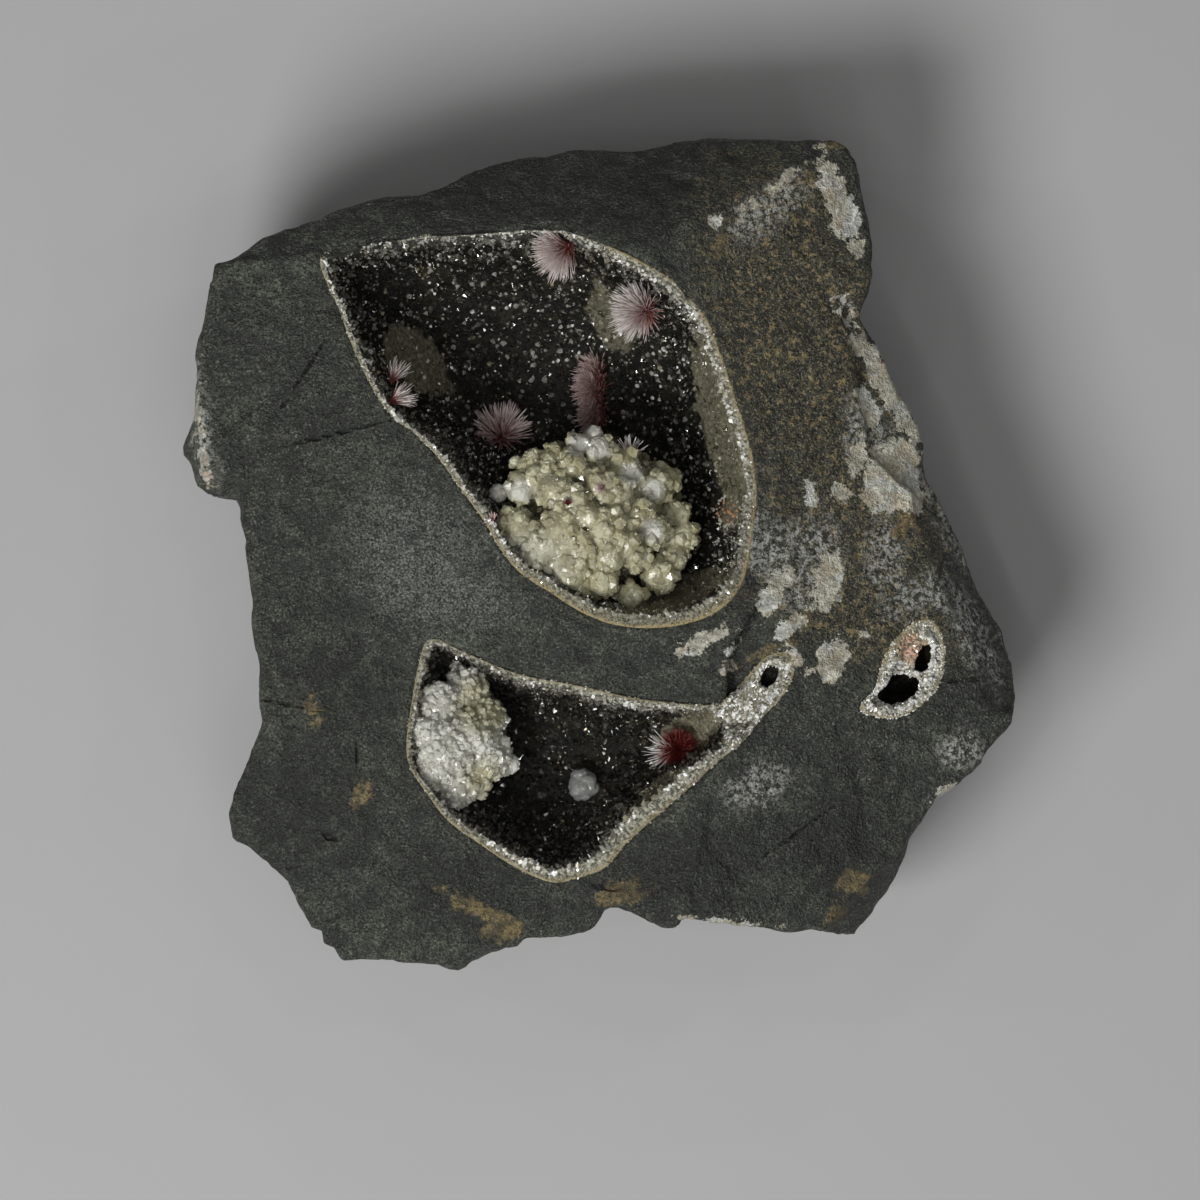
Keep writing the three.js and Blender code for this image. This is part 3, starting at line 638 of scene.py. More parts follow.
dress(rockPiece, basalt, "basalt", "basalt_matrix")


# The linings, each a crust between the pocket's wall and its own inner wall.
bowlPower = 2.3


def bowlHeight(pocket, share, inset):
    down = (1 - np.clip(share, 0, 1) ** bowlPower) ** (1 / pocket["belly"])
    return pocket["mouth"] - (pocket["depth"] - inset) * down


def bowlShare(pocket, height, inset):
    # The share of the way to the rim at which the bowl reaches a height.
    down = np.clip((pocket["mouth"] - height) / (pocket["depth"] - inset), 0, 1)
    return (1 - down ** pocket["belly"]) ** (1 / bowlPower)


def floorHeight(pocket, x, y):
    # The lined wall's height under a point.
    way = np.array([x, y]) - np.array(pocket["centre"])
    spokes = smoothRim(pocket["rim"], 240) - np.array(pocket["centre"])
    nearest = np.argmax(unit(spokes) @ unit(way))
    share = np.hypot(*way) / (np.hypot(*spokes[nearest]) - pocket["lining"])
    return float(bowlHeight(pocket, share, pocket["lining"]))


bandRings = 6


def liningMesh(name, pocket, spokes, levels, seed):
    # The inner wall, the broken band at the rim, and a plain outer wall behind, as one closed mesh.
    centre = np.array(pocket["centre"], float)
    rim = smoothRim(pocket["rim"], spokes)
    reach = np.linalg.norm(rim - centre, axis=1)
    way = (rim - centre) / reach[:, None]
    outside = rim + way * 0.9
    face = np.array([surfaceHeight(x, y) for x, y in outside])
    evened = np.convolve(np.concatenate([face[-4:], face, face[:4]]), np.ones(9) / 9, "valid")
    face = np.minimum(face, evened + 0.6)
    turns = np.degrees(np.arctan2(way[:, 1], way[:, 0])) % 360
    band = np.array(pocket["band"], float)
    width, bandWhite, bandWarm = (np.interp(turns, band[:, 0], band[:, k], period=360) for k in (1, 2, 3))
    edge = np.column_stack([rim, face])
    uneven = 0.3 * noiseAt(edge, 2.2, seed + 31) + 0.2 * noiseAt(edge, 0.9, seed + 37)
    width = np.maximum(width * (1 + uneven), 0.4)
    innerShare = np.maximum(bowlShare(pocket, face, pocket["lining"]), 0.3)
    outerReach = (reach + 0.3) * (0.3 * bowlShare(pocket, face, 0.0) + 0.7)
    innerReach = outerReach - width - 0.3
    bottom = np.tile([*centre, bowlHeight(pocket, 0.0, pocket["lining"])], (spokes, 1))
    rings, deep, across = [bottom], [face - bottom[:, 2]], [0.0]
    for k in range(1, levels + 1):  # the inner wall
        share = innerShare * math.sin(k / levels * math.pi / 2)
        xy = centre + way * (innerReach * share / innerShare)[:, None]
        rings.append(np.column_stack([xy, np.minimum(bowlHeight(pocket, share, pocket["lining"]), face)]))
        deep.append(face - rings[-1][:, 2])
        across.append(0.0)
    edge = np.linalg.norm(rings[-1][:, :2] - centre, axis=1)
    for k in range(1, bandRings + 1):  # the broken band
        distance = edge * (1 - k / bandRings) + outerReach * k / bandRings
        rings.append(np.column_stack([centre + way * distance[:, None], face]))
        deep.append(np.zeros(spokes))
        across.append(k / bandRings)
    for share in (0.995, 0.96, 0.88, 0.75, 0.55, 0.3, 0.0):  # the plain outer wall
        z = bowlHeight(pocket, np.full(spokes, share), 0.0) - 1.2
        z = np.minimum(z, face - 1) if share else z
        rings.append(np.column_stack([centre + way * (outerReach * share)[:, None], z]))
        deep.append(np.full(spokes, 20.0))
        across.append(1.0)
    rows = len(rings)
    row = np.repeat(np.arange(rows), spokes)
    points, deep, band = np.vstack(rings), np.concatenate(deep), np.repeat(across, spokes)
    wall, onBand = row <= levels, (row > levels) & (row <= levels + bandRings)
    if name in holes:
        opened = markValue(points, holes[name]) + 0.35 * noiseAt(points * [1, 1, 0], 0.9, seed + 3)
        outward = np.clip(np.hypot(*(points[:, :2] - centre).T) / reach.mean(), 0, 1)
        filled = np.mean(face) - 1.3 - 0.6 * (1 - outward)
        raised = filled + (points[:, 2] - filled) * smoothStep(opened, -0.1, 0.25)
        points[:, 2] = np.where(wall & (points[:, 2] < filled), raised, points[:, 2])
        deep = np.where(wall, np.mean(face) - points[:, 2], deep)
    # The wall is knobbly; the band follows the rock's relief and is grainy.
    knobs = 0.25 + 0.75 * noiseAt(points, 5.5, seed) + 0.35 * noiseAt(points, 2.2, seed + 5)
    toAxis = np.column_stack([centre[0] - points[:, 0], centre[1] - points[:, 1], np.full(len(points), 12.0)])
    points = points + unit(toAxis) * (knobs * wall * smoothStep(deep, 0.0, 2.5))[:, None]
    grainy = 0.22 * noiseAt(points, 0.7, seed + 2)
    lift = rockRelief(points) * smoothStep(band, -0.5, 0.8) + grainy + 0.08
    points[:, 2] += np.where(onBand | (row == levels), lift, 0.0)
    values = {
        "deep": deep, "band": np.where(onBand, band, 0.0), "wall": wall.astype(float),
        "white": np.tile(bandWhite, rows), "warm": np.tile(bandWarm, rows),
    }
    # A grid bent into the shape: its two sides and its first and last rows are merged.
    sheet = bmesh.new()
    bmesh.ops.create_grid(sheet, x_segments=spokes, y_segments=rows - 1, size=1.0)
    layers = {key: sheet.verts.layers.float.new(key) for key in values}
    for k, v in enumerate(sheet.verts):
        source = k // (spokes + 1) * spokes + k % (spokes + 1) % spokes
        v.co = points[source]
        for key, layer in layers.items():
            v[layer] = values[key][source]
    bmesh.ops.remove_doubles(sheet, verts=sheet.verts, dist=1e-4)
    values = {key: np.array([v[layer] for v in sheet.verts]) for key, layer in layers.items()}
    return *shapeOf(sheet), values


# Bare, lighter plates on the walls.
plates = {
    "upper": [
        (2, 38, 5.8, 3.3, -62), (-29.5, 31, 6.8, 3.8, -50), (19.6, 20, 16, 3.0, -76),
        (20.8, 6.2, 2.2, 1.7, 80), (13, -6.5, 10, 2.4, 22), (2, 18, 1.5, 1.5, 0),
    ],
    "lower": [(-19, -20.5, 1.2, 1, 0), (14.5, -29, 6, 3, 30), (9, -40, 7, 2, 45)],
    "lobe": [(26, -21, 9, 5, 50)], "side": [(50, -19, 9, 8, 60)],
}
# Where the two small pockets are open; the rest of them is filled to just below the face.
holes = {
    "lobe": [(27.4, -19.8, 2.3, 1.4, 60)], "side": [(48.0, -22.2, 3.9, 2.5, 12), (52.4, -17.2, 2.6, 1.5, 70)],
}

liningTones = {
    "dark": (0.003, 0.003, 0.002), "grain": (0.020, 0.019, 0.013), "blotch": (0.045, 0.04, 0.022),
    "nearRim": (0.13, 0.132, 0.115), "plateDark": (0.10, 0.093, 0.06), "plate": (0.29, 0.27, 0.185),
    "bandDark": (0.06, 0.06, 0.048), "band": (0.2, 0.195, 0.145), "bandWhite": (0.62, 0.61, 0.49),
    "bandWarm": (0.26, 0.235, 0.14), "tanLine": (0.36, 0.295, 0.155), "roughness": 0.42, "specular": 0.2,
}
t = Tree("druzy_base")
look, at = liningTones, t.place()
deep, bandLine, warm, white = (t.value(key) for key in ("deep", "band", "warm", "white"))
mottle = t.noise(at, 0.6, 4.0, 0.7)
blotch = t.noise(at, 3.0, 3.0, 0.6, (2.0, 8.0, 5.0))
color = t.layered(
    t.mix(t.ramp(mottle, 0.45, 0.7), look["dark"], look["grain"]), look,
    ("blotch", t.ramp(blotch, 0.5, 0.7), 0.4),
    ("nearRim", t.times(t.ramp(deep, 0.0, 4.5, 1.0, 0.0), t.ramp(mottle, 0.35, 0.6, 0.2, 1.0)), white),
)
plateAt = t.ramp(t.plus(t.value("plate"), t.around(blotch, 4.0)), -0.3, 0.4)
plateTone = t.mix(t.ramp(mottle, 0.35, 0.65), look["plateDark"], look["plate"])
color = t.over(color, plateTone, plateAt, t.ramp(deep, 3.0, 28.0, 0.9, 0.45))
bandTone = t.layered(
    t.mix(t.ramp(mottle, 0.4, 0.6), look["bandDark"], t.mix(white, look["band"], look["bandWhite"])), look,
    ("bandWarm", warm, 0.3),
    ("tanLine", t.ramp(t.plus(bandLine, t.around(blotch, 0.6)), 0.6, 0.86), t.blend(warm, 0.3, 0.95)),
)
color = t.mix(t.ramp(bandLine, 0.0, 0.12), color, bandTone)
liningLook = t.finish({
    "Base Color": color, "Roughness": look["roughness"], "IOR": 1.5, "Specular IOR Level": look["specular"],
    "Normal": t.bump(mottle, 0.5, 0.9),
})

crystalTones = {
    "clear": (0.66, 0.64, 0.57), "clearTinted": (0.62, 0.55, 0.36), "milky": (0.56, 0.555, 0.49),
    "white": (0.97, 0.97, 0.93), "tinted": (0.42, 0.37, 0.23), "pink": (0.74, 0.47, 0.36),
    "orange": (0.52, 0.17, 0.05), "ior": 1.54,
}
t = Tree("quartz_crystals")
look, milk, tint = crystalTones, t.value("milk"), t.value("tint")
clearTone = t.mix(tint, look["clear"], look["clearTinted"])
milkTone = t.layered(
    t.mix(t.ramp(milk, 0.8, 1.0), look["milky"], look["white"]), look,
    ("tinted", tint), ("pink", t.ramp(tint, 1.1, 1.9)), ("orange", t.ramp(tint, 2.2, 2.8)),
)
crystalLook = t.finish({
    "Base Color": t.mix(milk, clearTone, milkTone), "Roughness": t.blend(milk, 0.05, 0.08), "IOR": look["ior"],
    "Transmission Weight": t.ramp(milk, 0.0, 1.0, 1.0, 0.1, smooth=False),
})

# Spokes and levels of the linings' grids, for the two large pockets and for the small ones.
largeGrid, smallGrid = (320, 64), (150, 34)
pointShape, pointFaces = quartzPoint()
blockShape, blockFaces = blockyCrystal()
linings = {}
for number, (name, pocket) in enumerate(pockets.items()):
    random = np.random.default_rng(40 + number)
    large = name in ("upper", "lower")
    points, faces, values = liningMesh(name, pocket, *(largeGrid if large else smallGrid), 3.0 + 7 * number)
    plate = markValue(points, plates[name])
    values["plate"] = plate if large else np.where(values["deep"] > 2.6, farOutside, plate)
    average = {key: numbers[faces].mean(axis=1) for key, numbers in values.items()}
    inside = average["wall"] > 0.6
    place, normal, chosen = sampled(points, faces[inside], pocket["crystals"], random)
    bare = (average["plate"][inside][chosen] > 0.2) & (random.random(len(place)) < 0.6) & large
    shut = (average["deep"][inside][chosen] > 2.8) & (not large)
    keep = ~bare & ~shut
    place, normal, chosen = place[keep], normal[keep], chosen[keep]
    deepAt, whiteAt = average["deep"][inside][chosen], average["white"][inside][chosen]
    count = len(place)
    size = pocket["size"] * (0.5 + random.random(count) ** 2.2)
    sizes = size[:, None] * (np.array([1.0, 1.0, 0.8]) + 0.5 * random.random((count, 3)))
    axes = unit(normal + 0.45 * random.normal(size=(count, 3)))
    milk = 1.4 * whiteAt * np.exp(-deepAt / 2.4) * random.random(count)
    milk = milk + pocket["gloom"] * (0.03 + 2.2 * random.random(count) ** 6)
    # Painted glints: a share of the crystals is made white and somewhat larger to stand for glints.
    paintedGlintCrystal = random.random(count) < pocket["paintedGlints"]
    milk = np.clip(np.where(paintedGlintCrystal, 0.8 + 0.3 * random.random(count), milk) + (0.0 if large else 0.3), 0, 1)
    larger = 0.5 + random.random(paintedGlintCrystal.sum()) ** 2
    sizes[paintedGlintCrystal] *= (0.7 * pocket["size"] / size[paintedGlintCrystal] * larger)[:, None]
    tint = (random.random(count) < 0.15) * 0.7
    lit = (average["plate"][inside][chosen] > 0) & large
    milk[lit] = np.maximum(milk[lit], 0.55 * random.random(lit.sum()) * np.exp(-deepAt[lit] / 12))
    tint[lit] = 0.6
    # A few large ones seen on the specimen, put on the nearest crystal.
    for x, y, across, orange in pocket.get("big", []):
        away = np.hypot(place[:, 0] - x, place[:, 1] - y)
        if orange:  # a patch of orange ones on pale ground
            pale, near = away < across * 1.5, away < across
            tint[pale], milk[pale] = 0.3, 0.45 + 0.4 * random.random(pale.sum())
            tint[near & (random.random(count) < 0.85)] = 2.7
        else:
            one = np.argmin(away)
            sizes[one], axes[one] = (across, across, across * 0.9), (0.1, -0.1, 1.0)
            milk[one], tint[one] = 0.86, 0.0
    # Crystals along the broken band, their tips towards the opening.
    onBand = (average["band"] > 0.01) & (average["band"] < 0.9)
    bandCount = int(pocket["crystals"] * (0.42 if large else 0.8))
    bandPlace, _, bandChosen = sampled(points, faces[onBand], bandCount, random)
    bandWhite, bandWarm, across = (average[key][onBand][bandChosen] for key in ("white", "warm", "band"))
    inward = unit((np.array([*pocket["centre"], 40.0]) - bandPlace) * np.array([1, 1, 0]))
    bandAxes = unit(inward * 0.6 + 0.45 * random.normal(size=(bandCount, 3)) + np.array([0, 0, 0.5]))
    bandSize = pocket["size"] * (0.5 + 0.6 * random.random(bandCount)) * (1.1 - 0.5 * across)
    bandSizes = bandSize[:, None] * (np.array([0.42, 0.42, 0.5]) + 0.25 * random.random((bandCount, 3)))
    bandMilk = np.clip(bandWhite * (0.1 + 2.0 * random.random(bandCount) ** 1.5) * (1.25 - 0.7 * across), 0, 1)
    lip = (across < 0.3) & (random.random(bandCount) < 0.4)
    bandSizes[lip] *= 1.5
    bandMilk[lip] = np.clip(bandMilk[lip] + 0.35 * bandWhite[lip], 0, 1)
    bandTint = np.clip(bandWarm * (0.3 + across) * random.random(bandCount) * 1.2, 0, 1)
    bandPlace = bandPlace - np.array([0, 0, 1]) * (bandSize * 0.12)[:, None]
    bandPlace = bandPlace - inward * (bandSize * 0.1)[:, None]
    allPlaces = np.vstack([place - normal * (size * 0.25)[:, None], bandPlace])
    allAxes, allSizes = np.vstack([axes, bandAxes]), np.vstack([sizes, bandSizes])
    milk, tint = np.concatenate([milk, bandMilk]), np.concatenate([tint, bandTint])
    if name == "side":
        # All milky, and pinkish at the top.
        fromPink = np.hypot(allPlaces[:, 0] - 50.0, allPlaces[:, 1] + 15.4)
        pink = smoothStep(-fromPink - random.random(len(tint)), -3.6, -1.6)
        tint = np.where(pink > 0.1, 1.2 + 0.6 * pink, tint * 0.3)
        milk = np.clip(0.75 + 0.35 * random.random(len(milk)), 0, 1)
    # Sharp tips on the wall; rounder grains on the band and all over the small pockets.
    grown, shades = [], {"milk": milk, "tint": tint}
    rounded = np.arange(len(allPlaces)) >= (count if large else 0)
    if not large:
        allSizes[:count] = allSizes[:count] * np.array([0.62, 0.62, 0.5])
    for shape, shapeFaces, those in ((pointShape, pointFaces, ~rounded), (blockShape, blockFaces, rounded)):
        if those.any():
            made = copies(shape, shapeFaces, allPlaces[those], allAxes[those], allSizes[those], random)
            grown.append((*made, {key: np.repeat(numbers[those], len(shape)) for key, numbers in shades.items()}))
    linings[name] = {"base": (points, faces, values), "crystals": grown}

for name, members in crusts.items():
    crust = joined([linings[member]["base"] for member in members])
    base = makeObject(f"druzy_base_{name}", *crust, smooth=True)
    dress(base, liningLook, "druzy_quartz", f"quartz_lining_{name}_pocket")
    grown = [part for member in members for part in linings[member]["crystals"]]
    crystals = makeObject(f"quartz_crystals_{name}", *joined(grown))
    dress(crystals, crystalLook, "druzy_quartz")
    print("lining", name, len(base.data.polygons), len(crystals.data.polygons))


# The crystal clusters. The dome is its middle, top, fall and reach; the body its middle, half widths and
# top; the balls are x, y and radius; clear ones are free of small beads.
clusters = {
    "upper": {
        "node": "pale_crystal_cluster_upper", "slot": "pale_crystal",
        "dome": ((-4, 3), 53.9, 7.5, 15), "body": ((-1.3, 5.6), (14.3, 13), 50.0), "shift": 0.0,
        "balls": [
            (-0.9, 18.8, 1.6), (-3.4, 17.2, 2.1), (-0.1, 16.6, 2.2), (-4.4, 13.7, 2.4), (-7.6, 15.6, 1.6),
            (-10.6, 14.2, 2.2), (-13.5, 14.5, 1.1), (-8.6, 13, 1.9), (-16.2, 9.4, 1.6), (-12.6, 9.8, 2.4),
            (-0.2, 11, 2.4), (-7.3, 9.8, 2.9), (-4.7, 8.2, 2.9), (5.2, 12.4, 2.1), (8.7, 10, 2.7),
            (10.8, 11.8, 2.2), (2.5, 9.5, 3.2), (3.8, 14.2, 2.7), (-1.8, 5.7, 2.2), (1.4, 3.9, 3.5),
            (8.4, 3.4, 3), (13.5, 2.5, 2.6), (6, -0.7, 2.4), (-6, 3.9, 3.5), (-13.4, 3.9, 3.2),
            (-14.8, 2, 2.6), (-8.6, 1.5, 3.2), (-3.6, 0.2, 2.9), (1.4, -0.6, 2.9), (-10.5, -2.2, 2.9),
            (-4.7, -3, 3.2), (0.1, -4.7, 2.9), (5, -7.1, 2.4), (9.4, -3.4, 2.9), (11.9, -1, 2.6),
            (-3.6, -6.3, 2.4), (-7, -4.9, 2.2), (3.8, 1.5, 2.9), (6.2, 5.8, 2.9), (-10.5, 11.8, 2.2),
            (13, 6.3, 1.9),
        ],
        "clear": [
            (-0.9, 18.8), (-3.4, 17.2), (-0.1, 16.6), (-12.6, 9.8), (-16.2, 9.4), (8.7, 10),
            (5.2, 12.4), (8.4, 3.4),
        ],
        "crystals": 2600, "crystalSize": 0.34, "beads": 900, "beadSize": 1.12,
    },
    "lower": {
        "node": "white_crystal_cluster_lower", "slot": "white_crystal",
        "dome": ((-25.3, -30.5), 53.2, 6.5, 10), "body": ((-23.6, -29.5), (8.2, 10), 50.2), "shift": -0.9,
        "balls": [
            (-23.9, -31.8, 5.2), (-25.2, -24.6, 3.9), (-20.7, -22.2, 3.6), (-22.3, -37.8, 3.4),
            (-17.5, -27, 3.6), (-16.9, -33.4, 3.4), (-13.5, -34.2, 1.7), (-14.8, -31, 1.6),
            (-19.1, -37.2, 2.6), (-26.4, -35.3, 3), (-22.8, -18.4, 2.2), (-19.9, -29.4, 4.2),
            (-26.6, -29, 3),
        ],
        "clear": [(-13.5, -34.2), (-14.8, -31)],
        "crystals": 2400, "crystalSize": 0.36, "beads": 1300, "beadSize": 0.78,
    },
}

# The shade and sunk tones are painted shade.
clusterTones = {
    "greenish": (0.54, 0.49, 0.25), "yellow": (0.85, 0.82, 0.57), "white": (0.94, 0.935, 0.85),
    "shade": (0.22, 0.20, 0.115), "sunk": (0.10, 0.09, 0.05), "roughness": 0.09, "coat": 0.6, "ior": 1.5,
    "crystal": (0.82, 0.78, 0.55), "crystalWhite": (0.95, 0.95, 0.90),
}
t = Tree("glassy_cluster")
look, at = clusterTones, t.place()
white, sunk, shade = t.value("white"), t.value("sunk"), t.value("shade")
patch = t.noise(at, 2.6, 4.0, 0.65)
grain = t.noise(at, 0.5, 3.0, 0.6, (4.0, 1.0, 1.0))
color = t.mix(t.ramp(patch, 0.38, 0.62), look["greenish"], look["yellow"])
# Painted shade: the body between the balls is darkest, balls and beads a random amount darker, deep parts darker
# still.
color = t.mix(shade, look["shade"], t.mix(white, color, look["white"]))
color = t.over(color, look["sunk"], t.ramp(sunk, 0.0, 1.0), 0.7)
clusterLook = t.finish({
    "Base Color": color, "Roughness": look["roughness"], "IOR": look["ior"],
    "Transmission Weight": t.blend(white, 0.38, 0.3), "Normal": t.bump(grain, 0.35, 0.8),
    "Coat Weight": look["coat"], "Coat Roughness": 0.04,
})
t = Tree("glassy_crystals")
clusterCrystalLook = t.finish({
    "Base Color": t.mix(t.value("white"), look["crystal"], look["crystalWhite"]), "Roughness": 0.05,
    "IOR": look["ior"], "Transmission Weight": t.blend(t.value("milk"), 0.8, 0.25),
})


def cutBall(detail, flats, random):
    # A ball cut by flat faces, as a glassy crystal grown round.
    points, faces = icoBall(detail)
    ways = unit(random.normal(size=(flats, 3)))
    depth = 0.84 + 0.16 * random.random(flats)
    facing = points @ ways.T
    limit = np.where(facing > 0.3, depth[None, :] / np.maximum(facing, 0.3), 9.0).min(axis=1)
    return points * np.minimum(limit, 1.03)[:, None], faces


def ballHeight(cluster, x, y, r):
    (cx, cy), top, fall, reach = cluster["dome"]
    return top - fall * (math.hypot(x - cx, y - cy) / reach) ** 2 - r * 0.72


def distanceTo(points, centres):
    c = np.array(centres, float)
    return np.sqrt(((points[:, None, :2] - c[None, :, :2]) ** 2).sum(axis=2)).min(axis=1)


def whiteness(name, cluster, points):
    # White round the clear balls, and at the lower left of the upper cluster as painted light on the side
    # that faces the key lamp; yellow in two spots of the other.
    if name == "upper":
        clear = smoothStep(-distanceTo(points, cluster["clear"]), -2.3, -1.2)
        paintedLitSide = smoothStep(-np.hypot(points[:, 0] + 11.0, points[:, 1] + 2.5), -8.0, -3.0)
        return np.clip(0.12 + 0.88 * clear + 0.4 * paintedLitSide, 0, 1)
    x = points[:, 0] + 18.5
    yellowest = np.minimum(np.hypot(x, points[:, 1] + 24.5), np.hypot(x, points[:, 1] + 36.5) + 1.5)
    return 1 - 0.8 * smoothStep(-yellowest, -6.5, -2.5)


for number, (name, cluster) in enumerate(clusters.items()):
    random = np.random.default_rng(70 + number)
    ballPoints, ballFaces = icoBall(3)
    cluster["balls"] = [(x + cluster["shift"], y, r) for x, y, r in cluster["balls"]]
    (bx, by), (rx, ry), top = cluster["body"]
    low = 20.0
    parts = [(ballPoints * [rx, ry, (top - low) / 2] + [bx, by, (top + low) / 2], ballFaces, {})]
    for x, y, r in cluster["balls"]:
        parts.append((ballPoints * r * 0.93 + [x, y, ballHeight(cluster, x, y, r)], ballFaces, {}))
    source = makeObject("clusterSource", *joined(parts)[:2])
    mesh = remeshed(source, 0.5, cluster["node"])
    points, faces = arraysOf(mesh)
    bpy.data.meshes.remove(mesh)
    points = points + unit(points - np.array([bx, by, 30.0])) * (0.16 * noiseAt(points, 1.1, 5.0))[:, None]
    pieces = [(points, faces, {"shade": np.full(len(points), 0.55)})]
    # The placed balls, then small ones over the whole surface.
    large = [cutBall(3, 40, random) for _ in range(6)]
    small = [cutBall(1, 16, random) for _ in range(12)]
    for x, y, r in [ball for ball in cluster["balls"] if name == "upper" or ball[2] < 2]:
        shape, shapeFaces = large[random.integers(6)]
        middle = np.array([[x, y, ballHeight(cluster, x, y, r)]])
        turned, _ = copies(shape, shapeFaces, middle, random.normal(size=(1, 3)), np.full((1, 3), r), random)
        pieces.append((turned, shapeFaces, {"shade": np.full(len(turned), 0.75 + 0.25 * random.random())}))
    up = points[faces].mean(axis=1)[:, 2] > 36
    place, normal, _ = sampled(points, faces[up], cluster["beads"], random)
    nearClear = distanceTo(place, cluster["clear"]) < 1.5
    keep = ~nearClear | (random.random(len(place)) < 0.2)
    place, normal = place[keep], normal[keep]
    count = len(place)
    r = cluster["beadSize"] * (0.45 + 0.75 * random.random(count) ** 1.7)
    shades = 0.55 + 0.45 * random.random(count)
    for k, (shape, shapeFaces) in enumerate(small):
        mine = np.arange(count) % 12 == k
        sizes = r[mine, None] * (0.85 + 0.35 * random.random((mine.sum(), 3)))
        middles = place[mine] + normal[mine] * (r[mine, None] * 0.05)
        ways = random.normal(size=(mine.sum(), 3))
        turned, turnedFaces = copies(shape, shapeFaces, middles, ways, sizes, random)
        pieces.append((turned, turnedFaces, {"shade": np.repeat(shades[mine], len(shape))}))
    points, faces, values = joined(pieces)
    (cx, cy), domeTop, fall, reach = cluster["dome"]
    domeZ = domeTop - fall * (np.hypot(points[:, 0] - cx, points[:, 1] - cy) / reach) ** 2
    values["white"] = whiteness(name, cluster, points)
    # Painted shade, stronger the deeper a point lies below the dome's top.
    values["sunk"] = np.clip((domeZ - points[:, 2] - 1.4) / 3.0, 0, 1)
    body = makeObject(f"{name}_cluster_body", points, faces, values)
    dress(body, clusterLook, cluster["slot"], cluster["node"])
    place, normal, chosen = sampled(points, faces, cluster["crystals"] * 2, random)
    keep = (place[:, 2] > 37) & (normal[:, 2] > -0.2)
    place, normal, chosen = place[keep], normal[keep], chosen[keep]
    count = len(place)
    size = cluster["crystalSize"] * (0.5 + 0.7 * random.random(count) ** 1.5)
    sizes = np.column_stack([size, size, size * (0.9 + 0.5 * random.random(count))])
    axes = unit(normal + 0.5 * random.normal(size=(count, 3)))
    place = place - normal * (size * 0.4)[:, None]
    crystals, crystalFaces = copies(blockShape, blockFaces, place, axes, sizes, random)
    whiteHere = values["white"][faces].mean(axis=1)[chosen]
    milkHere = random.random(count)
    made = makeObject(
        f"{name}_cluster_crystals", crystals, crystalFaces,
        {"white": np.repeat(whiteHere, len(blockShape)), "milk": np.repeat(milkHere, len(blockShape))},
    )
    dress(made, clusterCrystalLook, cluster["slot"])
    print("cluster", name, len(body.data.polygons), len(made.data.polygons))

# The clear ball on the floor of the lower pocket.
random = np.random.default_rng(81)
low, high = (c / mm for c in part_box("clear_ball_lower_pocket"))
centre, radius = np.array((low + high) / 2), (high.x - low.x) / 2
pieces = []
for k in range(26):
    away = unit(random.normal(size=3)) * radius * (0.0 if k == 0 else 0.62)
    size = radius * (0.85 if k == 0 else 0.28 + 0.2 * random.random())
    shape, shapeFaces = cutBall(3 if k == 0 else 2, 24, random)
    pieces.append((shape * size + centre + away, shapeFaces, {}))
lone = makeObject("clear_ball", *joined(pieces))
clearTones = {"color": (0.82, 0.83, 0.78), "roughness": 0.14, "clear": 0.8}
t = Tree("clear_ball")
clearLook = t.finish({
    "Base Color": clearTones["color"], "Roughness": clearTones["roughness"], "IOR": 1.5,
    "Transmission Weight": clearTones["clear"], "Normal": t.bump(t.noise(t.place(), 0.7, 3.0), 0.3, 0.8),
})
dress(lone, clearLook, "white_crystal", "clear_ball_lower_pocket")
print("clear ball", len(lone.data.polygons))


